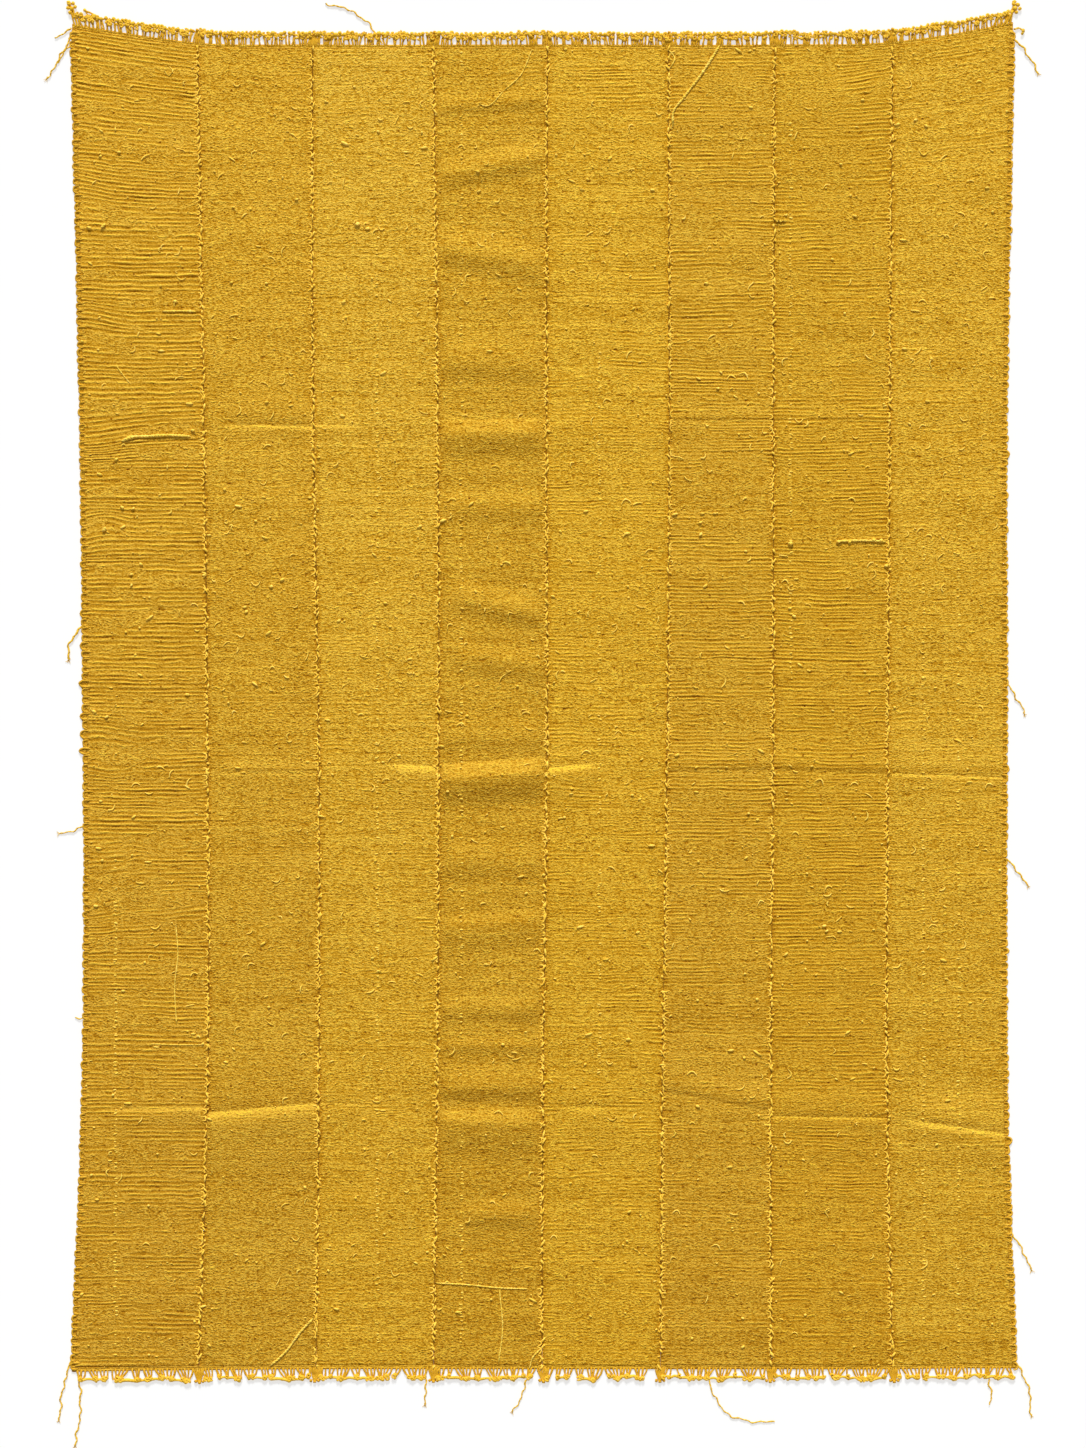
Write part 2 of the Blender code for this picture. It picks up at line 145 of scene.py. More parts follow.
# Where the picks are pulled up or down: strip, place, half width, half height and shift
pulls = (
    (1, -0.522, 0.335, 0.055, 0.032, -0.0120),
    (1, -0.520, 0.455, 0.030, 0.024, 0.0070),
    (1, -0.528, 0.600, 0.040, 0.030, 0.0060),
    (1, -0.497, 0.228, 0.020, 0.014, 0.0055),
    (1, -0.522, 0.205, 0.022, 0.016, -0.0050),
    (1, -0.505, -0.010, 0.030, 0.020, 0.0050),
    (1, -0.490, -0.048, 0.035, 0.018, -0.0050),
    (1, -0.515, -0.200, 0.045, 0.040, -0.0110),
    (1, -0.385, -0.205, 0.030, 0.022, 0.0070),
    (6, 0.145, 0.735, 0.050, 0.030, 0.0070),
    (7, 0.392, 0.735, 0.055, 0.035, 0.0110),
    (7, 0.262, 0.550, 0.040, 0.030, -0.0050),
    (3, -0.130, 0.100, 0.040, 0.040, 0.0050),
    (5, 0.010, -0.060, 0.030, 0.020, 0.0050),
    (8, 0.520, 0.300, 0.040, 0.040, 0.0060),
    (8, 0.400, -0.200, 0.040, 0.040, -0.0060),
)

# Patches that are calmer or more ribbed than their surroundings: strip, place, half width, half
# height and change
patches = (
    (1, -0.440, 0.662, 0.075, 0.022, -0.90),
    (1, -0.460, 0.160, 0.050, 0.022, -0.35),
    (1, -0.470, -0.018, 0.060, 0.018, -0.55),
    (1, -0.465, -0.195, 0.055, 0.040, -0.50),
    (1, -0.440, -0.110, 0.070, 0.018, 0.35),
    (1, -0.440, 0.325, 0.040, 0.030, -0.45),
    (6, 0.200, 0.160, 0.065, 0.026, 0.20),
    (6, 0.200, 0.255, 0.060, 0.030, -0.40),
    (6, 0.175, 0.460, 0.060, 0.060, 0.15),
    (7, 0.330, 0.420, 0.060, 0.028, -0.45),
    (7, 0.365, 0.332, 0.040, 0.018, 0.25),
    (7, 0.330, 0.130, 0.065, 0.035, 0.15),
    (7, 0.365, 0.730, 0.035, 0.030, 0.30),
    (7, 0.300, 0.720, 0.040, 0.030, -0.45),
    (7, 0.330, -0.190, 0.060, 0.040, 0.20),
    (5, 0.070, 0.720, 0.060, 0.040, 0.20),
    (8, 0.460, 0.500, 0.060, 0.060, -0.20),
)

# Weave: rib depth, and for each strip its weft spacing, its colour at the top and bottom end (the top one
# lighter as painted light falling from that end) and how strongly ribbed it is at five heights from top to
# bottom
weave = {
    "pitch": 0.0041,
    "unevenPitch": 0.26,
    "ribDepth": 0.00072,
    "columns": 22,
    # painted highlight and painted shade on the ribs, row by row
    "ribPaintedLight": 0.13,
    # painted shade in the grooves beside the seams
    "seamPaintedShade": 0.15,
    "seamDip": 0.0010,
    "seamDipReach": 0.0020,
    "puckerPaintedLight": (0.16, 0.12),  # painted highlight added on slopes towards the light, and painted shade on the others
    # the same painted highlight and painted shade on the slopes of the creases
    "creasePaintedLight": (0.90, 0.05),
    "swell": 0.00035,
    "lump": 0.00012,
    "sway": 0.0014,
    "wobble": 0.0006,
    "undersideStep": 6,
    "waves": {  # size, how much longer across, seed and how many are added up
        "swell": (0.045, 2.2, 1, 7),
        "lump": (0.014, 1.8, 1, 11),
        "sway": (0.16, 1.0, 31, 7),
        "wobble": (0.034, 1.3, 37, 7),
        "bands": (0.040, 3.0, 53, 9),
        "spots": (0.018, 1.5, 59, 9),
        "broadTone": (0.09, 0.7, 71, 9),
    },
    "rowPhases": (0.0, 0.24, 0.50, 0.78),  # where a weft's rows of points lie, their heights, and the painted highlight and shade on each row
    "rowHeights": (-0.50, 0.15, 0.55, 0.45),
    "rowShades": (-0.9, -0.2, 0.5, 1.0),
    "calmRange": (0.45, 0.75),  # a weft's strength: least and spread
    "heavy": (0.10, 1.5),  # share of wefts that are heavier, and by how much
    "knots": (14, 3.0, 2.9),  # uneven places across a weft, their power and their reach
    "knotBase": 0.16,
    "mostHeight": 1.9,
    "mostShade": 2.2,
    "bands": 0.75,  # how much the ribbing varies in broad bands and in small spots
    "spots": 0.50,
    "ribbingY": (-0.731, -0.366, 0.0, 0.385, 0.770),
    "ribbingLimits": (0.05, 1.5),
    "endFade": 0.05,
    "seamShadeReach": 0.0045,
    "pickTone": 0.03,
    "broadTone": 0.018,
    "seed": 11,
    "strips": {
        1: {
            "pitch": 0.0047,
            "top": (207, 159, 46),
            "low": (192, 145, 41),
            "ribbing": (1.0, 1.0, 0.85, 0.70, 0.50),
        },
        2: {"top": (209, 161, 46), "low": (193, 147, 41), "ribbing": (0.22, 0.20, 0.28, 0.25, 0.22)},
        3: {"top": (213, 167, 52), "low": (200, 153, 40), "ribbing": (0.28, 0.26, 0.32, 0.32, 0.30)},
        4: {"top": (205, 158, 44), "low": (192, 145, 37), "ribbing": (0.22, 0.18, 0.18, 0.18, 0.25)},
        5: {"top": (211, 164, 46), "low": (201, 154, 39), "ribbing": (0.30, 0.38, 0.38, 0.40, 0.36)},
        6: {
            "pitch": 0.0042,
            "top": (205, 158, 45),
            "low": (192, 145, 39),
            "ribbing": (0.50, 0.58, 0.60, 0.42, 0.35),
        },
        7: {
            "pitch": 0.0042,
            "top": (205, 158, 43),
            "low": (193, 145, 35),
            "ribbing": (0.50, 0.56, 0.62, 0.52, 0.36),
        },
        8: {"top": (211, 164, 48), "low": (199, 153, 42), "ribbing": (0.35, 0.28, 0.32, 0.32, 0.30)},
    },
}


def along(stations, values, t):
    stations = np.asarray(stations, float)
    values = np.asarray(values, float)
    t = np.clip(t, stations[0], stations[-1])
    i = np.clip(np.searchsorted(stations, t, side="right") - 1, 0, len(stations) - 2)
    span = stations[i + 1] - stations[i]
    s = (t - stations[i]) / span
    slopes = np.gradient(values, stations)
    rest = 1.0 - s
    start = (1.0 + 2.0 * s) * rest**2 * values[i] + s * rest**2 * slopes[i] * span
    end = s**2 * (3.0 - 2.0 * s) * values[i + 1] - s**2 * rest * slopes[i + 1] * span
    return start + end


def smoothStep(t):
    t = np.clip(t, 0.0, 1.0)
    return t * t * (3.0 - 2.0 * t)


def lineX(line, y):
    return along(cloth["stationY"], cloth["lineX"][line], y)


def sideX(strip, y, right):
    outermost = strip == (cloth["strips"] if right else 1)
    edge = cloth["edgingWidth"] + cloth["gap"] if outermost else cloth["gap"] / 2
    return lineX(strip, y) - edge if right else lineX(strip - 1, y) + edge


def fellY(x, top):
    return along(cloth["fellX"], cloth["fellTopY" if top else "fellBottomY"], x)


# A level line bends to follow the woven end that it comes near
def bentY(x, y, inset):
    levelTop = cloth["stationY"][-1] - inset
    levelLow = cloth["stationY"][0] + inset
    blend = cloth["fellBlend"]
    nearTop = smoothStep((y - levelTop + blend) / blend)
    nearLow = smoothStep((levelLow + blend - y) / blend)
    topShift = fellY(x, True) - inset - levelTop
    lowShift = fellY(x, False) + inset - levelLow
    return y + topShift * nearTop + lowShift * nearLow


def ridge(distance, reach, sharp=0.0):
    t = np.clip(np.abs(distance) / reach, 0.0, 1.0)
    soft = np.cos(0.5 * np.pi * t) ** 2
    tent = 1.0 - np.sqrt(t * t + 0.006) + 0.077 * (1.0 - t)
    return soft * (1.0 - sharp) + np.clip(tent, 0.0, 1.0) * smoothStep((1.0 - t) * 4.0) * sharp


# 1 in the part of a strip's width from start to stop, fading out at its ends within the strip
def within(share, start, stop, fade):
    rise = smoothStep((share - start) / fade + (start <= 0))
    return rise * smoothStep((stop - share) / fade + (stop >= 1))


# How far the cloth's underside stands off the floor
def relief(strip, share, y):
    lift = np.zeros(np.broadcast(share, y).shape)
    if strip == cloth["slackStrip"]:
        for leftY, rightY, rise, above, below, start, stop, sharp in puckers:
            distance = y - (leftY + (rightY - leftY) * share)
            fade = smoothStep((share - start) / cloth["puckerFade"])
            fade = fade * smoothStep((stop - share) / cloth["puckerFade"])
            held = cloth["puckerHeld"] * (start <= 0.0)
            fade = held + (1.0 - held) * fade
            lit = ridge(distance, above, sharp)
            shade = ridge(distance, below)
            lift = np.maximum(lift, rise * np.where(distance > 0, lit, shade) * fade)
    for number, leftY, rightY, above, below, farAbove, farBelow, start, stop in creases:
        if number == strip:
            distance = y - (leftY + (rightY - leftY) * share)
            t = np.abs(distance) / np.where(distance > 0, farAbove, farBelow)
            height = np.where(distance > 0, above, below) * t * np.exp(1.0 - t) * (t < 7.0)
            lift = np.maximum(lift, height * within(share, start, stop, cloth["creaseFade"]))
    return lift


# Smooth uneven waves over the cloth, mostly within -1 to 1
def waves(x, y, length, stretch, seed, count=7):
    source = random.Random(seed)
    total = np.zeros(np.broadcast(x, y).shape)
    for _ in range(count):
        turn = source.uniform(0, math.pi)
        size = length * source.uniform(0.6, 1.6)
        across = math.cos(turn) / (size * stretch)
        up = math.sin(turn) / size
        phase = source.uniform(0, 2 * math.pi)
        total = total + np.sin(2 * math.pi * (x * across + y * up) + phase)
    return total / math.sqrt(count * 2.0)


# One of the weave's kinds of waves on one strip, as high as the weave says
def wavesOf(kind, strip, x, y):
    length, stretch, seed, count = weave["waves"][kind]
    return weave[kind] * waves(x, y, length, stretch, weave["seed"] * seed + strip, count)


# A field over one strip with soft spots added: strip, place, half width, half height and size
def withSpots(field, spots, strip, x, y):
    for number, atX, atY, wide, tall, size in spots:
        if number == strip:
            field = field + size * np.exp(-(((x - atX) / wide) ** 2) - ((y - atY) / tall) ** 2)
    return field


# How near a point is to the sewn sides of its strip: 1 on a seam, 0 away from both
def seamNear(strip, fromLeft, fromRight, reach):
    near = np.zeros(np.shape(fromLeft))
    if strip > 1:
        near = near + np.exp(-((fromLeft / reach) ** 2))
    if strip < cloth["strips"]:
        near = near + np.exp(-((fromRight / reach) ** 2))
    return near


# Height of the cloth's face without its ribs
def faceZ(strip, share, x, y):
    swell = wavesOf("swell", 0, x, y) + wavesOf("lump", strip, x, y)
    swell = withSpots(swell, swells, strip, x, y)
    fromLeft = x - sideX(strip, y, False)
    fromRight = sideX(strip, y, True) - x
    dip = seamNear(strip, fromLeft, fromRight, weave["seamDipReach"])
    return cloth["thickness"] + relief(strip, share, y) + swell - weave["seamDip"] * dip


def stripAt(x, y):
    for strip in range(1, cloth["strips"] + 1):
        if x <= float(lineX(strip, y)):
            return strip
    return cloth["strips"]


# Height of the face at any point, for what lies on it
def restZ(x, y):
    strip = stripAt(x, y)
    left = float(sideX(strip, y, False))
    right = float(sideX(strip, y, True))
    share = min(max((x - left) / (right - left), 0.0), 1.0)
    return float(faceZ(strip, np.array(share), np.array(x), np.array(y)))


# A closed shell: a fine face, a coarser underside and a rim between them
def shellMesh(name, face, underZ, step, uv, marks):
    rows, columns = face.shape[:2]
    lowRows = list(range(0, rows - 1, step)) + [rows - 1]
    lowColumns = list(range(0, columns - 1, step)) + [columns - 1]
    top = np.arange(rows * columns).reshape(rows, columns)
    low = top.size + np.arange(len(lowRows) * len(lowColumns)).reshape(len(lowRows), -1)
    under = face[np.ix_(lowRows, lowColumns)].copy()
    under[:, :, 2] = underZ[np.ix_(lowRows, lowColumns)]
    places = np.concatenate([face.reshape(-1, 3), under.reshape(-1, 3)])
    quads = np.stack([top[:-1, :-1], top[:-1, 1:], top[1:, 1:], top[1:, :-1]], axis=-1)
    faces = quads.reshape(-1, 4).tolist()
    quads = np.stack([low[:-1, :-1], low[1:, :-1], low[1:, 1:], low[:-1, 1:]], axis=-1)
    faces += quads.reshape(-1, 4).tolist()
    rims = []
    for i in range(len(lowRows) - 1):
        first, last = lowRows[i], lowRows[i + 1] + 1
        rims.append((low[i + 1, 0], low[i, 0], top[first:last, 0]))
        rims.append((low[i, -1], low[i + 1, -1], top[first:last, -1][::-1]))
    for i in range(len(lowColumns) - 1):
        first, last = lowColumns[i], lowColumns[i + 1] + 1
        rims.append((low[0, i], low[0, i + 1], top[0, first:last][::-1]))
        rims.append((low[-1, i + 1], low[-1, i], top[-1, first:last]))
    faces += [[int(start), int(end), *rim.tolist()] for start, end, rim in rims]
    mesh = bpy.data.meshes.new(name)
    mesh.from_pydata(places.tolist(), [], faces)
    grid = np.concatenate([uv.reshape(-1, 2), uv[np.ix_(lowRows, lowColumns)].reshape(-1, 2)])
    loops = np.empty(len(mesh.loops), dtype=np.int32)
    mesh.loops.foreach_get("vertex_index", loops)
    layer = mesh.uv_layers.new(name="weave")
    layer.data.foreach_set("uv", grid[loops].ravel().astype(np.float32))
    for mark, values in marks.items():
        values = np.concatenate([values.ravel(), values[np.ix_(lowRows, lowColumns)].ravel()])
        attribute = mesh.attributes.new(mark, "FLOAT", "POINT")
        attribute.data.foreach_set("value", values.astype(np.float32))
    mesh.shade_smooth()
    return mesh


def addPiece(name, mesh):
    piece = bpy.data.objects.new(name, mesh)
    bpy.context.scene.collection.objects.link(piece)
    return piece


# What shader and geometry trees share: adding nodes and feeding their sockets
class Graph:
    def begin(self, tree):
        self.nodes = tree.nodes
        self.links = tree.links

    def add(self, kind, inputs=None, **settings):
        node = self.nodes.new(kind)
        for key, value in settings.items():
            setattr(node, key, value)
        for key, value in (inputs or {}).items():
            self.feed(node, key, value)
        return node

    def feed(self, node, key, value):
        socket = node.inputs[key]
        if isinstance(value, bpy.types.NodeSocket):
            self.links.new(value, socket)
        else:
            socket.default_value = value

    def math(self, operation, a, b=0.0, c=0.0):
        return self.add("ShaderNodeMath", {0: a, 1: b, 2: c}, operation=operation).outputs[0]

    def times(self, a, b):
        return self.math("MULTIPLY", a, b)

    # A base with a weighted value added to it
    def plus(self, base, value, weight):
        return self.math("MULTIPLY_ADD", value, weight, base)

    # The same for a value that swings around a half, such as a noise
    def swung(self, base, value, weight):
        return self.plus(base, self.math("SUBTRACT", value, 0.5), weight)

    def span(self, value, low, high, outLow, outHigh):
        inputs = {"Value": value, 1: low, 2: high, 3: outLow, 4: outHigh}
        return self.add("ShaderNodeMapRange", inputs, clamp=True).outputs[0]

    def noise(self, vector, scale, detail=2.0, roughness=0.5, distortion=0.0):
        inputs = {"Vector": vector, "Scale": scale, "Detail": detail, "Roughness": roughness}
        inputs["Distortion"] = distortion
        return self.add("ShaderNodeTexNoise", inputs).outputs[0]

    def vector(self, x=0.0, y=0.0, z=0.0):
        return self.add("ShaderNodeCombineXYZ", {0: x, 1: y, 2: z}).outputs[0]

    def vectorMath(self, operation, a, b):
        key = 3 if operation == "SCALE" else 1
        return self.add("ShaderNodeVectorMath", {0: a, key: b}, operation=operation).outputs[0]


class Shader(Graph):
    def __init__(self, name):
        self.material = bpy.data.materials.new(name)
        self.material.use_nodes = True
        self.begin(self.material.node_tree)
        self.principled = self.nodes["Principled BSDF"]

    def scaled(self, vector, scale):
        inputs = {"Vector": vector, "Scale": scale}
        return self.add("ShaderNodeMapping", inputs, vector_type="POINT").outputs[0]

    def dress(self, colour, height, look):
        self.feed(self.principled, "Base Color", colour)
        self.feed(self.principled, "Roughness", look["roughness"])
        self.feed(self.principled, "Specular IOR Level", look["specular"])
        inputs = {"Strength": 1.0, "Distance": look["bumpDepth"], "Height": height}
        self.feed(self.principled, "Normal", self.add("ShaderNodeBump", inputs).outputs[0])


class GeometryTree(Graph):
    kinds = {float: "NodeSocketFloat", int: "NodeSocketInt", str: "NodeSocketMaterial"}

    def __init__(self, name, inputs):
        self.group = bpy.data.node_groups.new(name, "GeometryNodeTree")
        face = self.group.interface
        face.new_socket("Geometry", in_out="INPUT", socket_type="NodeSocketGeometry")
        for label, value in inputs.items():
            socket = face.new_socket(label, in_out="INPUT", socket_type=self.kinds[type(value)])
            if not isinstance(value, str):
                socket.default_value = value
        face.new_socket("Geometry", in_out="OUTPUT", socket_type="NodeSocketGeometry")
        self.begin(self.group)
        self.given = self.add("NodeGroupInput").outputs

    def random(self, low, high, seedStep):
        seed = self.math("ADD", self.given["Seed"], float(seedStep))
        inputs = {2: low, 3: high, "Seed": seed}
        return self.add("FunctionNodeRandomValue", inputs, data_type="FLOAT").outputs[1]

    # Smooth, real geometry and its material close every tree
    def finish(self, geometry):
        smooth = self.add("GeometryNodeSetShadeSmooth", {"Geometry": geometry, "Shade Smooth": True})
        real = self.add("GeometryNodeRealizeInstances", {"Geometry": smooth.outputs[0]})
        inputs = {"Geometry": real.outputs[0], "Material": self.given["Yarn material"]}
        dressed = self.add("GeometryNodeSetMaterial", inputs)
        self.links.new(dressed.outputs[0], self.add("NodeGroupOutput").inputs[0])


# The tree's result on an object, as a plain mesh; the object it grew on is removed
def grow(piece, tree, values):
    modifier = piece.modifiers.new("grow", "NODES")
    modifier.node_group = tree.group
    for item in tree.group.interface.items_tree:
        if item.in_out == "INPUT" and item.name in values:
            modifier[item.identifier] = values[item.name]
    graph = bpy.context.evaluated_depsgraph_get()
    mesh = bpy.data.meshes.new_from_object(piece.evaluated_get(graph))
    bpy.data.objects.remove(piece)
    return mesh


def linear(colour):
    channels = [c / 255 for c in colour]
    return tuple(c / 12.92 if c <= 0.04045 else ((c + 0.055) / 1.055) ** 2.4 for c in channels)


# How a colour follows its tone, which holds dye and painted light and shade, up to the brightest one
dyeAndShadeLook = {"brightest": 1.42, "greenPower": 1.50, "bluePower": 5.2, "bluest": 2.3}


# A colour at a tone: dark tones are redder and deeper, as in the shade between yarns, bright tones paler;
# this colours dye and painted shade alike
def dyeAndShadeColour(shader, colour, tone):
    tone = shader.math("MINIMUM", tone, dyeAndShadeLook["brightest"])
    green = shader.math("POWER", tone, dyeAndShadeLook["greenPower"])
    blue = shader.math("POWER", tone, dyeAndShadeLook["bluePower"])
    blue = shader.math("MINIMUM", blue, dyeAndShadeLook["bluest"])
    return shader.vectorMath("MULTIPLY", colour, shader.vector(tone, green, blue))


cottonLook = {
    "lift": (1.060, 1.020, 0.76),  # red, green and blue of the dye beside the strips' colours
    "ribbed": 0.85,  # ribbing above which only wefts show, and below which only pebbles do
    "calm": 0.32,
    "dashScale": (0.30, 1.0, 1.0),  # along a weft and from weft to weft
    "bendScale": (0.40, 0.42, 1.0),
    "lumpScale": (0.55, 0.95, 1.0),
    "pebbleScale": (330.0, 540.0, 330.0),  # to the metre
    "grainScale": 620.0,
    "mottleScale": 14.0,
    "bendShift": (0.3, 3.0),  # how far a weft wanders where it is ribbed, and what calm adds
    "weftPower": 2.6,
    "weftMiddle": 0.34,
    "weftBreaks": (0.36, 0.62, 0.3, 1.6),
    "pebbleRange": (0.33, 0.67, -0.52, 0.68),
    "streakRange": (0.60, 0.70, 0.0, 1.0),
    "gapRange": (0.40, 0.30, 0.0, 1.0),
    "warpPace": 1.15,
    "warpBend": 3.0,
    "warpDepth": 0.35,
    "dashTone": 0.25,
    # crests lighter and gaps between wefts darker: partly the dye, partly painted highlight and painted shade
    "streakDyeAndHighlight": 0.42,
    "gapDyeAndShade": -0.28,
    "threadDyeAndPaintedLight": 0.42,
    "lumpTone": 0.05,
    "grainTone": 1.00,
    "mottleTone": 0.08,
    # tiny holes drawn as dark spots: painted shade in pits
    "pinholeSpacing": 0.027,
    "pinholeSize": 0.0013,
    "pinholePaintedShade": -0.55,
    "ribbedBump": 0.3,
    "calmBump": 0.4,
    "breakBump": (0.3, 0.7, 0.3, 1.2),
    "streakBump": 0.6,
    "gapBump": -0.5,
    "grainBump": 1.0,
    "lumpBump": 0.25,
    "bumpDepth": 0.0011,
    "paintedLightReach": 0.75,  # height above and below the middle at which each end's colour is full; the lighter top is painted light
    "roughness": 0.92,
    "sheen": 0.04,
    "specular": 0.1,
}


# Hand-woven cotton: wefts along the strip's rows, uneven dye, painted highlights and shade along the wefts,
# painted light towards the top and tiny holes painted as dark spots of shade
def cottonMaterial(name, topColour, lowColour, seed):
    look = cottonLook
    shader = Shader(name)
    place = shader.add("ShaderNodeTexCoord").outputs["Object"]
    grid = shader.add("ShaderNodeUVMap", uv_map="weave").outputs[0]
    ribbing = shader.add("ShaderNodeAttribute", attribute_name="ribbing").outputs["Fac"]
    height = shader.add("ShaderNodeSeparateXYZ", {"Vector": place}).outputs["Y"]
    offset = shader.vectorMath("ADD", grid, (seed * 17.3, seed * 5.1, 0))
    dashes = shader.noise(shader.scaled(offset, look["dashScale"]), 1.0, 2.0, 0.6, 0.3)
    bend = shader.noise(shader.scaled(offset, look["bendScale"]), 1.0, 1.0, 0.5)
    lumps = shader.noise(shader.scaled(offset, look["lumpScale"]), 1.0, 1.0, 0.6)
    pebbles = shader.noise(shader.scaled(place, look["pebbleScale"]), 1.0, 1.0, 0.6)
    grain = shader.noise(place, look["grainScale"], 1.0, 0.6)
    mottle = shader.noise(place, look["mottleScale"], 2.0, 0.6)
    calm = shader.span(ribbing, look["ribbed"], look["calm"], 0.0, 1.0)
    warpEnd, weftRow, _ = shader.add("ShaderNodeSeparateXYZ", {"Vector": grid}).outputs
    least, more = look["bendShift"]
    shift = shader.times(shader.math("SUBTRACT", bend, 0.5), shader.plus(least, calm, more))
    turns = shader.times(shader.math("ADD", weftRow, shift), 2 * math.pi)
    peak = shader.plus(0.5, shader.math("COSINE", turns), -0.5)
    peak = shader.math("POWER", peak, look["weftPower"])
    breaks = shader.span(dashes, *look["weftBreaks"])
    rows = shader.times(shader.math("SUBTRACT", peak, look["weftMiddle"]), breaks)
    pebbles = shader.span(pebbles, *look["pebbleRange"])
    crest = shader.add("ShaderNodeMix", {0: calm, 2: rows, 3: pebbles}).outputs[0]
    ends = shader.times(warpEnd, 2 * math.pi * look["warpPace"])
    ends = shader.math("COSINE", shader.plus(ends, bend, look["warpBend"]))
    crest = shader.times(crest, shader.plus(1.0, ends, look["warpDepth"]))
    dash = shader.math("SUBTRACT", dashes, 0.5)
    streak = shader.times(shader.span(dashes, *look["streakRange"]), peak)
    gap = shader.times(shader.span(dashes, *look["gapRange"]), shader.math("SUBTRACT", 1.0, peak))
    rise = shader.times(crest, shader.plus(look["ribbedBump"], calm, look["calmBump"]))
    rise = shader.times(rise, shader.span(dashes, *look["breakBump"]))
    rise = shader.plus(rise, streak, look["streakBump"])
    rise = shader.plus(rise, gap, look["gapBump"])
    rise = shader.swung(rise, grain, look["grainBump"])
    rise = shader.swung(rise, lumps, look["lumpBump"])
    tone = shader.add("ShaderNodeAttribute", attribute_name="tone").outputs["Fac"]
    # streaks, gaps and crests add dye tone together with painted highlight and painted shade
    weighted = ((dash, "dashTone"), (streak, "streakDyeAndHighlight"), (gap, "gapDyeAndShade"), (crest, "threadDyeAndPaintedLight"))
    for value, weight in weighted:
        tone = shader.plus(tone, value, look[weight])
    for value, weight in ((lumps, "lumpTone"), (grain, "grainTone"), (mottle, "mottleTone")):
        tone = shader.swung(tone, value, look[weight])
    holes = {"Vector": place, "Scale": 1.0 / look["pinholeSpacing"], "Randomness": 1.0}
    holes = shader.add("ShaderNodeTexVoronoi", holes, voronoi_dimensions="2D")
    pick = shader.add("ShaderNodeSeparateXYZ", {"Vector": holes.outputs["Color"]}).outputs["X"]
    size = shader.times(pick, look["pinholeSize"] / look["pinholeSpacing"])
    hole = shader.math("LESS_THAN", holes.outputs["Distance"], size)
    # each hole darkens the tone, painted shade in a pit
    tone = shader.times(tone, shader.plus(1.0, hole, look["pinholePaintedShade"]))
    # the strip's colour, blended from its two ends, lighter towards the top as painted light
    share = shader.span(height, -look["paintedLightReach"], look["paintedLightReach"], 0.0, 1.0)
    inputs = {0: share}
    for key, colour in ((6, lowColour), (7, topColour)):
        inputs[key] = (*[c * k for c, k in zip(linear(colour), look["lift"])], 1.0)
    dyeAndPaintedLight = shader.add("ShaderNodeMix", inputs, data_type="RGBA").outputs[2]
    shader.dress(dyeAndShadeColour(shader, dyeAndPaintedLight, tone), rise, look)
    shader.feed(shader.principled, "Sheen Weight", look["sheen"])
    return shader.material


# Values of a weft's four rows for every weft, with the first one once more at the end
def everyPick(values, picks):
    return np.append(np.tile(values, picks), values[0])[:, None]


# How strong each weft is across its strip, one row for each row of points
def weftStrength(source, picks, shares):
    least, spread = weave["calmRange"]
    calm = least + spread * source.random((picks, 1)) ** 2
    heavyShare, heavyGain = weave["heavy"]
    heavy = np.where(source.random((picks, 1)) < heavyShare, heavyGain, 1.0)
    count, power, reach = weave["knots"]
    knots = source.random((picks, count)) ** power * reach
    broken = np.stack([np.interp(shares, np.linspace(0, 1, count), row) for row in knots])
    strength = calm * heavy * (weave["knotBase"] + broken)
    return np.vstack([np.repeat(strength, len(weave["rowPhases"]), axis=0), np.ones((1, shares.size))])


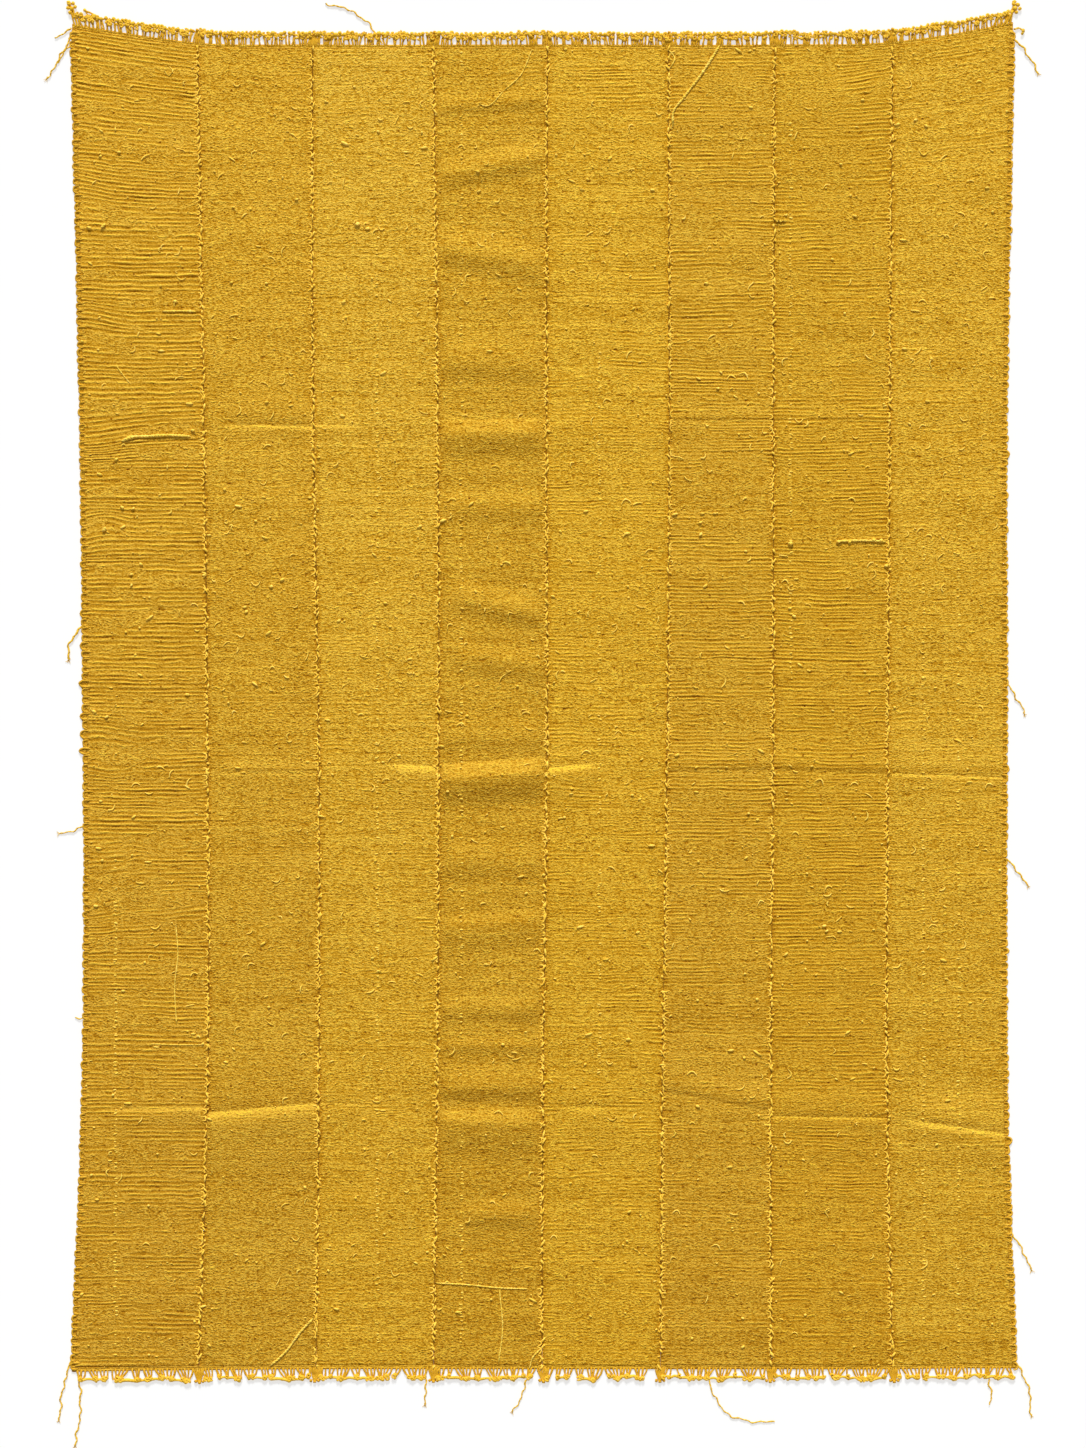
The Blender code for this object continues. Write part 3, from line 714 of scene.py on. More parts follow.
# One woven strip: rows of points on its wefts, columns closer together beside the seams
def makeStrip(strip):
    settings = weave["strips"][strip]
    source = np.random.default_rng(weave["seed"] * 100 + strip)
    inset = cloth["headingWidth"] + cloth["gap"]
    low, high = cloth["stationY"][0] + inset, cloth["stationY"][-1] - inset
    pitch = settings.get("pitch", weave["pitch"])
    picks = int(round((high - low) / pitch))
    widths = 1.0 + weave["unevenPitch"] * source.uniform(-1.0, 1.0, picks)
    starts = low + (high - low) * np.concatenate([[0.0], np.cumsum(widths)]) / widths.sum()
    phases = np.array(weave["rowPhases"])
    rowY = np.append((starts[:-1, None] + np.diff(starts)[:, None] * phases).ravel(), high)
    rowV = np.append((np.arange(picks)[:, None] + phases).ravel(), picks)
    inner = np.linspace(0.05, 0.95, weave["columns"] - 5)
    shares = np.concatenate([[0.0, 0.012, 0.028], inner, [0.972, 0.988, 1.0]])
    share = np.tile(shares, (rowY.size, 1))
    level = np.tile(rowY[:, None], (1, shares.size))
    x = sideX(strip, level, False) * (1.0 - share) + sideX(strip, level, True) * share
    endFade = smoothStep((high - level) / weave["endFade"])
    endFade = endFade * smoothStep((level - low) / weave["endFade"])
    sway = wavesOf("sway", strip, x, level) + wavesOf("wobble", strip, x, level)
    sway = withSpots(sway, pulls, strip, x, level)
    y = bentY(x, level + sway * endFade, inset)
    left, right = sideX(strip, y, False), sideX(strip, y, True)
    x = left + (right - left) * share
    ribbing = along(weave["ribbingY"], settings["ribbing"][::-1], level)
    uneven = 1.0 + wavesOf("bands", strip, x, level) + wavesOf("spots", strip, x, level)
    ribbing = ribbing * uneven
    ribbing = np.clip(withSpots(ribbing, patches, strip, x, level), *weave["ribbingLimits"])
    strength = weftStrength(source, picks, shares)
    profile = everyPick(weave["rowHeights"], picks)
    ribs = weave["ribDepth"] * ribbing * np.minimum(strength, weave["mostHeight"]) * profile
    face = np.stack([x, y, faceZ(strip, share, x, y) + ribs], axis=-1)
    # painted light on each weft: painted highlight on the flank that faces the light, painted shade in its
    # valley
    shading = everyPick(weave["rowShades"], picks)
    tone = 1.0 + weave["ribPaintedLight"] * ribbing * np.minimum(strength, weave["mostShade"]) * shading
    pickTone = source.normal(0.0, weave["pickTone"], (picks, 1))
    tone = tone + np.vstack([np.repeat(pickTone, phases.size, axis=0), np.zeros((1, 1))])
    # painted shade in the grooves beside the seams
    tone = tone - weave["seamPaintedShade"] * seamNear(strip, x - left, right - x, weave["seamShadeReach"])
    tone = tone + wavesOf("broadTone", strip, x, level)
    # painted highlight on pucker and crease slopes that face the light, painted shade on those that face away
    slope = (relief(strip, share, y - 0.001) - relief(strip, share, y + 0.001)) / 0.002
    bright, dark = weave["puckerPaintedLight"] if strip == cloth["slackStrip"] else weave["creasePaintedLight"]
    tone = tone + np.clip(slope, 0.0, 0.5) * bright + np.clip(slope, -0.5, 0.0) * dark
    uv = np.stack([(x - left) / pitch, np.tile(rowV[:, None], (1, shares.size))], axis=-1)
    marks = {"ribbing": np.clip(ribbing, 0, 1), "tone": tone}
    name = f"woven_strip_{strip}"
    mesh = shellMesh(name, face, relief(strip, share, y), weave["undersideStep"], uv, marks)
    mesh.materials.append(cottonMaterial(f"cotton_{strip}", settings["top"], settings["low"], strip))
    piece = addPiece(name, mesh)
    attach(piece, "root")
    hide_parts(f"strip_{strip}")
    return piece


strips = [makeStrip(strip) for strip in range(1, cloth["strips"] + 1)]
print("strips woven:", sum(len(piece.data.polygons) for piece in strips), "faces")


# Spun cotton as it is plied: an oval section turned along the path, a little uneven and fuzzy
def spunYarnTree():
    given = {"Sides": 6, "Twist": 900.0, "Flatness": 0.75, "Unevenness": 0.2, "Fuzz": 0.0002}
    tree = GeometryTree("spun_yarn", {**given, "Seed": 1, "Yarn material": ""})
    place = tree.add("GeometryNodeInputPosition").outputs[0]
    seeded = tree.vector(tree.given["Seed"], 0.0, 0.0)
    moved = tree.vectorMath("ADD", place, seeded)
    length = tree.add("GeometryNodeSplineParameter").outputs["Length"]
    turned = tree.add("GeometryNodeSetCurveTilt", {0: tree.given["Geometry"]})
    tree.feed(turned, "Tilt", tree.times(length, tree.given["Twist"]))
    swelling = tree.swung(1.0, tree.noise(moved, 260.0, 1.0), tree.times(tree.given["Unevenness"], 4.0))
    radius = tree.add("GeometryNodeInputRadius").outputs[0]
    circle = tree.add("GeometryNodeCurvePrimitiveCircle", {"Resolution": tree.given["Sides"], "Radius": 1.0})
    oval = tree.add("GeometryNodeTransform", {"Geometry": circle.outputs[0]})
    tree.feed(oval, "Scale", tree.vector(1.0, tree.given["Flatness"], 1.0))
    inputs = {"Curve": turned.outputs[0], "Profile Curve": oval.outputs[0], "Fill Caps": True}
    tube = tree.add("GeometryNodeCurveToMesh", {**inputs, "Scale": tree.times(radius, swelling)})
    normal = tree.add("GeometryNodeInputNormal").outputs[0]
    hairs = tree.math("SUBTRACT", tree.noise(moved, 900.0, 1.0), 0.5)
    reach = tree.times(hairs, tree.times(tree.given["Fuzz"], 4.0))
    push = tree.vectorMath("SCALE", normal, reach)
    fuzzy = tree.add("GeometryNodeSetPosition", {"Geometry": tube.outputs[0], "Offset": push})
    tree.finish(fuzzy.outputs[0])
    return tree


# Short arched stitches or beads, set along a path at uneven steps and slants
def stitchTree():
    given = {"Spacing": 0.009, "Stitch length": 0.007, "Stitch radius": 0.001, "Rise": 0.0012}
    given = {**given, "Turn": 0.0, "Slant": 0.6, "Side step": 0.001, "Left out": 0.1}
    given = {**given, "Sides": 6, "Steps": 5}
    tree = GeometryTree("stitches", {**given, "Seed": 1, "Yarn material": ""})
    steps = tree.add("GeometryNodeResampleCurve", {0: tree.given["Geometry"]}, mode="LENGTH")
    tree.feed(steps, "Length", tree.given["Spacing"])
    points = tree.add("GeometryNodeCurveToPoints", {0: steps.outputs[0]}, mode="EVALUATED")
    side = tree.times(tree.random(-1.0, 1.0, 1), tree.given["Side step"])
    shift = tree.times(tree.random(-0.35, 0.35, 2), tree.given["Spacing"])
    inputs = {0: points.outputs[0], "Offset": tree.vector(side, shift)}
    spread = tree.add("GeometryNodeSetPosition", inputs)
    half = tree.times(tree.given["Stitch length"], 0.5)
    sunk = tree.times(tree.given["Rise"], -0.6)
    inputs = {"Resolution": tree.given["Steps"], "Start": tree.vector(0.0, tree.times(half, -1.0), sunk)}
    inputs["Middle"] = tree.vector(0.0, 0.0, tree.times(tree.given["Rise"], 2.0))
    inputs["End"] = tree.vector(0.0, half, sunk)
    arch = tree.add("GeometryNodeCurveQuadraticBezier", inputs)
    share = tree.add("GeometryNodeSplineParameter").outputs["Factor"]
    swell = tree.math("SINE", tree.math("MULTIPLY_ADD", share, math.pi * 0.76, math.pi * 0.12))
    section = tree.add("GeometryNodeCurvePrimitiveCircle", {"Resolution": tree.given["Sides"], "Radius": 1.0})
    inputs = {"Curve": arch.outputs[0], "Profile Curve": section.outputs[0], "Fill Caps": True}
    size = tree.times(swell, tree.given["Stitch radius"])
    stitch = tree.add("GeometryNodeCurveToMesh", {**inputs, "Scale": size})
    lean = tree.times(tree.random(-1.0, 1.0, 3), tree.given["Slant"])
    turn = tree.vector(tree.random(-0.12, 0.12, 4), 0.0, tree.math("ADD", lean, tree.given["Turn"]))
    turn = tree.add("FunctionNodeEulerToRotation", {0: turn}).outputs[0]
    kept = tree.math("GREATER_THAN", tree.random(0.0, 1.0, 5), tree.given["Left out"])
    scale = tree.vector(tree.random(0.75, 1.3, 6), tree.random(0.6, 1.35, 7), tree.random(0.7, 1.2, 8))
    inputs = {"Points": spread.outputs[0], "Instance": stitch.outputs[0], "Rotation": turn, "Scale": scale}
    sewn = tree.add("GeometryNodeInstanceOnPoints", {**inputs, "Selection": kept})
    tree.finish(sewn.outputs[0])
    return tree


# Small nubs and bits of slub scattered over a woven face
def nubTree():
    given = {"Density": 150.0, "Nub size": 0.001, "Raised": 0.0}
    tree = GeometryTree("nubs", {**given, "Seed": 1, "Yarn material": ""})
    normal = tree.add("GeometryNodeInputNormal").outputs[0]
    upward = tree.add("ShaderNodeSeparateXYZ", {0: normal}).outputs["Z"]
    inputs = {"Mesh": tree.given["Geometry"], "Selection": tree.math("GREATER_THAN", upward, 0.5)}
    inputs = {**inputs, "Density": tree.given["Density"], "Seed": tree.given["Seed"]}
    points = tree.add("GeometryNodeDistributePointsOnFaces", inputs)
    inputs = {0: points.outputs[0], "Offset": tree.vector(0.0, 0.0, tree.given["Raised"])}
    raised = tree.add("GeometryNodeSetPosition", inputs)
    bead = tree.add("GeometryNodeMeshIcoSphere", {"Radius": tree.given["Nub size"], "Subdivisions": 1})
    turn = tree.vector(0.0, 0.0, tree.random(-0.7, 0.7, 1))
    turn = tree.add("FunctionNodeEulerToRotation", {0: turn}).outputs[0]
    size = tree.plus(0.55, tree.math("POWER", tree.random(0.0, 1.0, 2), 4.0), 1.4)
    long = tree.plus(0.9, tree.math("POWER", tree.random(0.0, 1.0, 3), 3.0), 2.6)
    scale = tree.vector(long, tree.random(0.7, 1.0, 4), tree.random(0.9, 1.2, 5))
    scale = tree.vectorMath("SCALE", scale, size)
    inputs = {"Points": raised.outputs[0], "Instance": bead.outputs[0], "Rotation": turn, "Scale": scale}
    nubs = tree.add("GeometryNodeInstanceOnPoints", inputs)
    real = tree.add("GeometryNodeRealizeInstances", {0: nubs.outputs[0]})
    place = tree.add("GeometryNodeInputPosition").outputs[0]
    rough = tree.times(tree.math("SUBTRACT", tree.noise(place, 700.0, 1.0), 0.5), 0.0009)
    push = tree.vectorMath("SCALE", normal, rough)
    lumpy = tree.add("GeometryNodeSetPosition", {"Geometry": real.outputs[0], "Offset": push})
    tree.finish(lumpy.outputs[0])
    return tree


yarnLook = {
    # fringe and leg: one fringe yarn in a lit and a shaded copy, painted highlight on the knots and painted
    # shade on the legs
    "fringe": (241, 193, 58),
    "leg": (222, 169, 40),
    "edge": (224, 174, 50),
    # bright: a paler yarn for nubs, slubs and hooks, its brightness partly painted highlight on them
    "bright": (255, 217, 86),
    "stitch": (253, 208, 74),
    # seam: a dark cord under the seams, painted shade in the gaps between the strips
    "seam": (140, 94, 16),
    "fibreTone": 0.5,
    "shadeTone": 0.44,
    "roughness": 0.9,
    "specular": 0.1,
    "bumpDepth": 0.0003,
}


def yarnMaterial(name):
    shader = Shader(f"{name}_yarn")
    place = shader.add("ShaderNodeTexCoord").outputs["Object"]
    fibres = shader.noise(place, 1400.0, 2.0, 0.7)
    tone = shader.swung(1.0, fibres, yarnLook["fibreTone"])
    tone = shader.swung(tone, shader.noise(place, 160.0, 2.0, 0.6), yarnLook["shadeTone"])
    shader.dress(dyeAndShadeColour(shader, linear(yarnLook[name]), tone), fibres, yarnLook)
    return shader.material


spunYarn = spunYarnTree()
stitching = stitchTree()
nubbing = nubTree()
fringeYarn = yarnMaterial("fringe")
legYarn = yarnMaterial("leg")
edgeYarn = yarnMaterial("edge")
stitchYarn = yarnMaterial("stitch")
paleAndHighlitYarn = yarnMaterial("bright")
seamShadeCordYarn = yarnMaterial("seam")


# A path through given points, read from one smooth curve at even steps
def smoothPath(points, step):
    points = np.asarray(points, float)
    spans = np.linalg.norm(np.diff(points, axis=0), axis=1)
    reach = np.concatenate([[0.0], np.cumsum(np.maximum(spans, 1e-6))])
    t = np.linspace(0.0, reach[-1], max(int(round(reach[-1] / step)) + 1, 3))
    return np.stack([along(reach, points[:, axis], t) for axis in range(3)], axis=-1)


def asCurve(name, paths):
    curve = bpy.data.curves.new(name, "CURVE")
    curve.dimensions = "3D"
    for points, radii in paths:
        spline = curve.splines.new("POLY")
        spline.points.add(len(points) - 1)
        for point, place, radius in zip(spline.points, points, radii):
            point.co = (*[float(c) for c in place], 1.0)
            point.radius = float(radius)
    return addPiece(name, curve)


def spin(name, paths, material, seed, twist=900.0, unevenness=0.2, fuzz=0.0002, sides=6, flatness=0.75):
    values = {"Sides": sides, "Twist": twist, "Unevenness": unevenness, "Fuzz": fuzz, "Seed": seed}
    values = {**values, "Flatness": flatness, "Yarn material": material}
    return grow(asCurve(name, paths), spunYarn, values)


# One object from several meshes, each with its materials
def joined(name, meshes):
    pieces = [addPiece(name, mesh) for mesh in meshes if len(mesh.polygons)]
    if len(pieces) > 1:
        with bpy.context.temp_override(active_object=pieces[0], selected_editable_objects=pieces):
            bpy.ops.object.join()
    pieces[0].name = name
    return pieces[0]


# A round knot or bead as a very short, thick path
def bead(x, y, z, radius, turn=0.0):
    reach = np.array([-0.85, -0.5, 0.0, 0.5, 0.85])
    points = [(x + math.cos(turn) * radius * s, y + math.sin(turn) * radius * s, z) for s in reach]
    return points, radius * np.sqrt(1.0 - (0.95 * reach) ** 2)


# Seams: whip stitches that lean over the join, with beads of yarn between them, and the loops in
# which one strip's wefts turn back
seamLook = {
    "step": 0.020,
    "ends": (0.764, -0.726),
    "stitches": {
        "Spacing": 0.0090, "Stitch length": 0.0074, "Stitch radius": 0.00125, "Rise": 0.0014,
        "Slant": 0.75, "Side step": 0.0011, "Left out": 0.15, "Sides": 5, "Steps": 5,
    },
    "beads": {
        "Spacing": 0.0100, "Stitch length": 0.0026, "Stitch radius": 0.0013, "Rise": 0.0009,
        "Slant": 1.5, "Side step": 0.0022, "Left out": 0.30, "Sides": 5, "Steps": 4,
    },
    "turnEnds": (0.760, -0.722),
    "turn": (0.0068, 0.0108),  # heights of the loops, and the share of them that shows
    "turnShown": 0.72,
    "turnHalf": (0.30, 0.46),
    "turnReach": 0.0046,
    "turnSlope": 0.0012,
    "turnRadius": 0.0009,
    "groundHeight": 0.0009,
    "groundRadius": 0.0008,
}


def seamPath(line, start, end):
    steps = max(int((start - end) / seamLook["step"]), 2)
    points = []
    for y in np.linspace(start, end, steps):
        x = float(lineX(line, y))
        points.append((x, float(y), restZ(x - 0.001, float(y)) + 0.0003))
    return points, [1.0] * len(points)


# Loops of weft along one side of a seam
def seamTurns(line, side, source):
    paths, (y, low) = [], seamLook["turnEnds"]
    while y > low:
        height = source.uniform(*seamLook["turn"])
        middle, half = y - height / 2, height * source.uniform(*seamLook["turnHalf"])
        x = float(lineX(line, middle)) - side * 0.0008
        reach = seamLook["turnReach"] * source.uniform(0.6, 1.5)
        z = restZ(x - side * 0.002, middle)
        slope = source.uniform(-seamLook["turnSlope"], seamLook["turnSlope"])
        if source.random() < seamLook["turnShown"]:
            points = (
                (x - side * reach, middle + half + slope, z - 0.0002),
                (x - side * 0.0012, middle + half * 0.75, z + 0.0004),
                (x, middle, z - 0.0001),
                (x - side * 0.0012, middle - half * 0.75, z + 0.0004),
                (x - side * reach * 0.8, middle - half - slope, z - 0.0002),
            )
            paths.append((points, [seamLook["turnRadius"] * k for k in (0.6, 0.95, 1.1, 0.95, 0.6)]))
        y -= height
    return paths


def makeSeam(line):
    path = seamPath(line, *seamLook["ends"])
    turns = seamTurns(line, 1.0 if line != 5 else -1.0, random.Random(line * 7))
    turns = spin("turns", turns, stitchYarn, line, twist=0.0, sides=4, flatness=0.9)
    sewn = []
    for part, seed in (("stitches", line), ("beads", line + 20)):
        choices = {**seamLook[part], "Seed": seed, "Yarn material": stitchYarn}
        sewn.append(grow(asCurve("seam", [path]), stitching, choices))
    # a dark cord under the seam, painted shade that fills the gap between the strips
    ground = [(x, y, seamLook["groundHeight"]) for x, y, _ in path[0][::3]]
    ground = [(ground, [seamLook["groundRadius"]] * len(ground))]
    cord = spin("ground", ground, seamShadeCordYarn, line, twist=0.0, sides=4)
    piece = joined(f"seam_stitches_{line}", [*sewn, turns, cord])
    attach(piece, "root")


for line in range(1, cloth["strips"]):
    makeSeam(line)
print("seams sewn")

# Slubs and pulled yarns on the face: strip, thickness at start and end, and the points they pass
faceYarns = (
    (1, 0.0017, 0.0015, ((-0.431, 0.4672), (-0.412, 0.4676), (-0.393, 0.4672))),
    (1, 0.0027, 0.0019, (
        (-0.477, 0.3200), (-0.466, 0.3246), (-0.448, 0.3257), (-0.428, 0.3269), (-0.399, 0.3257),
    )),
    (1, 0.0010, 0.0008, ((-0.484, 0.4070), (-0.476, 0.3960), (-0.467, 0.3850))),
    (1, 0.0009, 0.0009, ((-0.416, -0.2270), (-0.4135, -0.2600), (-0.417, -0.2950), (-0.415, -0.3400))),
    (1, 0.0009, 0.0008, ((-0.445, -0.3620), (-0.415, -0.3633), (-0.382, -0.3630))),
    (1, 0.0008, 0.0006, ((-0.514, 0.0187), (-0.509, 0.0130), (-0.5036, 0.0096))),
    (1, 0.0009, 0.0009, ((-0.424, 0.7450), (-0.419, 0.7400), (-0.424, 0.7340), (-0.429, 0.7400))),
    (7, 0.0020, 0.0017, ((0.335, 0.2070), (0.360, 0.2078), (0.388, 0.2066))),
    (4, 0.0011, 0.0012, ((-0.122, -0.6330), (-0.085, -0.6350), (-0.050, -0.6385), (-0.018, -0.6396))),
    (4, 0.0010, 0.0010, ((-0.0493, -0.6400), (-0.0459, -0.6850), (-0.0504, -0.7240))),
    (6, 0.0009, 0.0009, ((0.144, 0.1770), (0.1415, 0.1840), (0.147, 0.1850), (0.1450, 0.1800))),
    (6, 0.0009, 0.0009, ((0.1440, 0.3130), (0.1460, 0.3039), (0.1534, 0.3025), (0.1600, 0.2999))),
    (6, 0.0020, 0.0017, (
        (0.2000, 0.7687), (0.1840, 0.7427), (0.1570, 0.7064), (0.1479, 0.6940), (0.1470, 0.6759),
    )),
    (6, 0.0011, 0.0010, ((0.1420, 0.7640), (0.1490, 0.7540), (0.1440, 0.7427))),
    (4, 0.0010, 0.0009, (
        (-0.013, 0.7630), (-0.0255, 0.7348), (-0.0425, 0.7190), (-0.0663, 0.6997), (-0.072, 0.7020),
    )),
    (4, 0.0013, 0.0011, ((-0.003, -0.7076), (-0.012, -0.7180), (-0.0153, -0.7300))),
    (2, 0.0018, 0.0015, ((-0.2600, -0.6725), (-0.2736, -0.6870), (-0.2906, -0.7098), (-0.3087, -0.7270))),
)

# Nubs and knots: strip, place, length, width and turn
faceNubs = (
    (1, -0.4165, 0.4787, 0.0050, 0.0040, 0.2),
    (1, -0.4798, 0.6475, 0.0045, 0.0035, 0.0),
    (1, -0.5013, 0.6430, 0.0040, 0.0030, 0.6),
    (1, -0.4843, 0.6736, 0.0060, 0.0030, 1.5),
    (1, -0.4832, 0.2997, 0.0045, 0.0040, 0.4),
    (1, -0.4968, 0.2204, 0.0065, 0.0050, 1.0),
    (1, -0.4764, 0.2453, 0.0050, 0.0040, -0.5),
    (1, -0.4662, 0.1694, 0.0040, 0.0035, 0.2),
    (1, -0.4662, 0.1569, 0.0045, 0.0035, 1.2),
    (1, -0.3964, 0.3325, 0.0045, 0.0045, 0.0),
    (2, -0.3507, 0.5852, 0.0040, 0.0030, 0.3),
    (3, -0.2102, 0.5659, 0.0065, 0.0050, 0.2),
    (6, 0.1490, 0.2374, 0.0070, 0.0040, 0.3),
    (6, 0.1807, 0.2385, 0.0050, 0.0030, 0.0),
    (6, 0.1943, 0.2385, 0.0035, 0.0030, 0.0),
    (6, 0.1784, 0.2283, 0.0050, 0.0035, 0.5),
    (6, 0.1784, 0.2147, 0.0055, 0.0045, 0.9),
    (7, 0.2691, 0.5693, 0.0120, 0.0035, 0.0),
    (7, 0.3371, 0.6339, 0.0040, 0.0035, 0.0),
    (7, 0.2804, 0.2045, 0.0062, 0.0056, 0.0),
    (7, 0.3348, 0.2065, 0.0055, 0.0044, 0.3),
    (7, 0.3470, 0.2062, 0.0045, 0.0036, 0.9),
    (7, 0.3745, 0.2085, 0.0052, 0.0042, 0.2),
    (7, 0.3830, 0.2080, 0.0045, 0.0045, 0.6),
    (7, 0.3890, 0.1795, 0.0060, 0.0040, 0.4),
    (7, 0.2795, 0.1310, 0.0040, 0.0030, 0.2),
    (6, 0.1980, 0.3800, 0.0040, 0.0032, 0.1),
    (2, -0.2790, 0.5940, 0.0050, 0.0034, 0.5),
    (2, -0.3530, 0.5000, 0.0040, 0.0032, 0.2),
    (2, -0.2540, 0.3020, 0.0040, 0.0030, 0.4),
    (1, -0.4980, 0.5640, 0.0075, 0.0048, 0.8),
    (1, -0.5140, 0.5620, 0.0055, 0.0045, -0.3),
    (1, -0.4640, 0.2440, 0.0042, 0.0034, 0.7),
    (8, 0.4220, 0.6840, 0.0060, 0.0030, 0.4),
    (8, 0.4340, 0.6770, 0.0050, 0.0030, -0.3),
    (8, 0.5014, 0.5659, 0.0050, 0.0028, 0.8),
)

# Columns of small bumps where a warp end rides high: strip, x, top, bottom and share left out
bumpColumns = (
    (1, -0.484, -0.150, -0.720, 0.35),
    (3, -0.1875, 0.560, -0.700, 0.55),
    (4, -0.0923, 0.760, -0.700, 0.50),
    (5, 0.0640, 0.420, -0.400, 0.55),
    (7, 0.2804, 0.680, 0.060, 0.35),
    (8, 0.4311, 0.200, -0.700, 0.55),
    (8, 0.4708, 0.300, -0.700, 0.60),
)
# Scattered nubs for each square metre of a strip, and its count of hooks
nubLook = {
    "density": {1: 1900.0, 2: 1200.0, 3: 1300.0, 4: 1200.0, 5: 1500.0, 6: 1500.0, 7: 1500.0, 8: 1300.0},
    "size": 0.00105,
    "raised": 0.0006,
    "hooks": {1: 50, 2: 75, 3: 55, 4: 60, 5: 45, 6: 45, 7: 50, 8: 60},
    "hookHalf": (0.0018, 0.0055),
    "hookRadius": (0.0006, 0.0009),
    "hookRaised": 0.0010,
    "pathStep": 0.0022,
    "column": {
        "Spacing": 0.0046, "Stitch length": 0.0038, "Stitch radius": 0.0009, "Rise": 0.0006,
        "Turn": 1.57, "Slant": 0.3, "Side step": 0.0012, "Sides": 4, "Steps": 3,
    },
}


# Short bent ends of yarn caught on a strip's face, more of them towards its top
def hookPaths(strip):
    paths, source = [], random.Random(strip * 91)
    for _ in range(nubLook["hooks"][strip]):
        y = -0.71 + 1.44 * source.random() ** 0.75
        left, right = float(sideX(strip, y, False)), float(sideX(strip, y, True))
        x = left + (right - left) * source.uniform(0.07, 0.93)
        turn, half = source.uniform(-0.6, 1.5), source.uniform(*nubLook["hookHalf"])
        bow, radius = half * source.uniform(-1.0, 1.0), source.uniform(*nubLook["hookRadius"])
        z = restZ(x, y) + nubLook["hookRaised"]
        points = []
        for s in (-1.0, -0.5, 0.0, 0.5, 1.0):
            side = bow * (1.0 - s * s)
            atX = x + math.cos(turn) * half * s - math.sin(turn) * side
            atY = y + math.sin(turn) * half * s + math.cos(turn) * side
            points.append((atX, atY, z))
        paths.append((points, [radius * k for k in (0.6, 1.0, 1.1, 1.0, 0.6)]))
    return paths


def makeSlubs(strip):
    woven = bpy.data.objects[f"woven_strip_{strip}"]
    values = {"Density": nubLook["density"][strip], "Nub size": nubLook["size"], "Seed": strip}
    values = {**values, "Raised": nubLook["raised"], "Yarn material": paleAndHighlitYarn}
    meshes = [grow(addPiece("seedbed", woven.data), nubbing, values)]
    paths = []
    for number, first, last, places in faceYarns:
        if number == strip:
            flat = smoothPath([(x, y, 0.0) for x, y in places], nubLook["pathStep"])
            shares = np.linspace(0.0, 1.0, len(flat))
            tips = np.clip(np.minimum(shares, 1.0 - shares) * 12 + 0.4, 0, 1)
            radii = (first + (last - first) * shares) * tips
            points = [(x, y, restZ(x, y) + 0.35 * max(first, last)) for x, y, _ in flat]
            paths.append((points, radii))
    for number, x, y, length, width, turn in faceNubs:
        if number == strip:
            reach = np.array([-0.5, -0.3, 0.0, 0.3, 0.5]) * length
            z = restZ(x, y) + width * 0.36
            points = [(x + math.cos(turn) * s, y + math.sin(turn) * s, z) for s in reach]
            paths.append((points, np.array([0.35, 0.85, 1.0, 0.8, 0.35]) * width / 2))
    if paths:
        meshes.append(spin("slub", paths, paleAndHighlitYarn, strip, unevenness=0.3, fuzz=0.0003, flatness=0.65))
    for number, x, top, low, leftOut in bumpColumns:
        if number == strip:
            heights = np.linspace(top, low, 60)
            path = [(x, float(y), restZ(x, float(y)) + 0.0001) for y in heights], [1.0] * 60
            choices = {"Left out": leftOut, "Seed": strip, "Yarn material": paleAndHighlitYarn}
            choices = {**nubLook["column"], **choices}
            meshes.append(grow(asCurve("column", [path]), stitching, choices))
    meshes.append(spin("hooks", hookPaths(strip), paleAndHighlitYarn, strip + 80, twist=0.0, sides=4))
    piece = joined(f"slubs_{strip}", meshes)
    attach(piece, "root")


for strip in range(1, cloth["strips"] + 1):
    makeSlubs(strip)
print("slubs and nubs set")

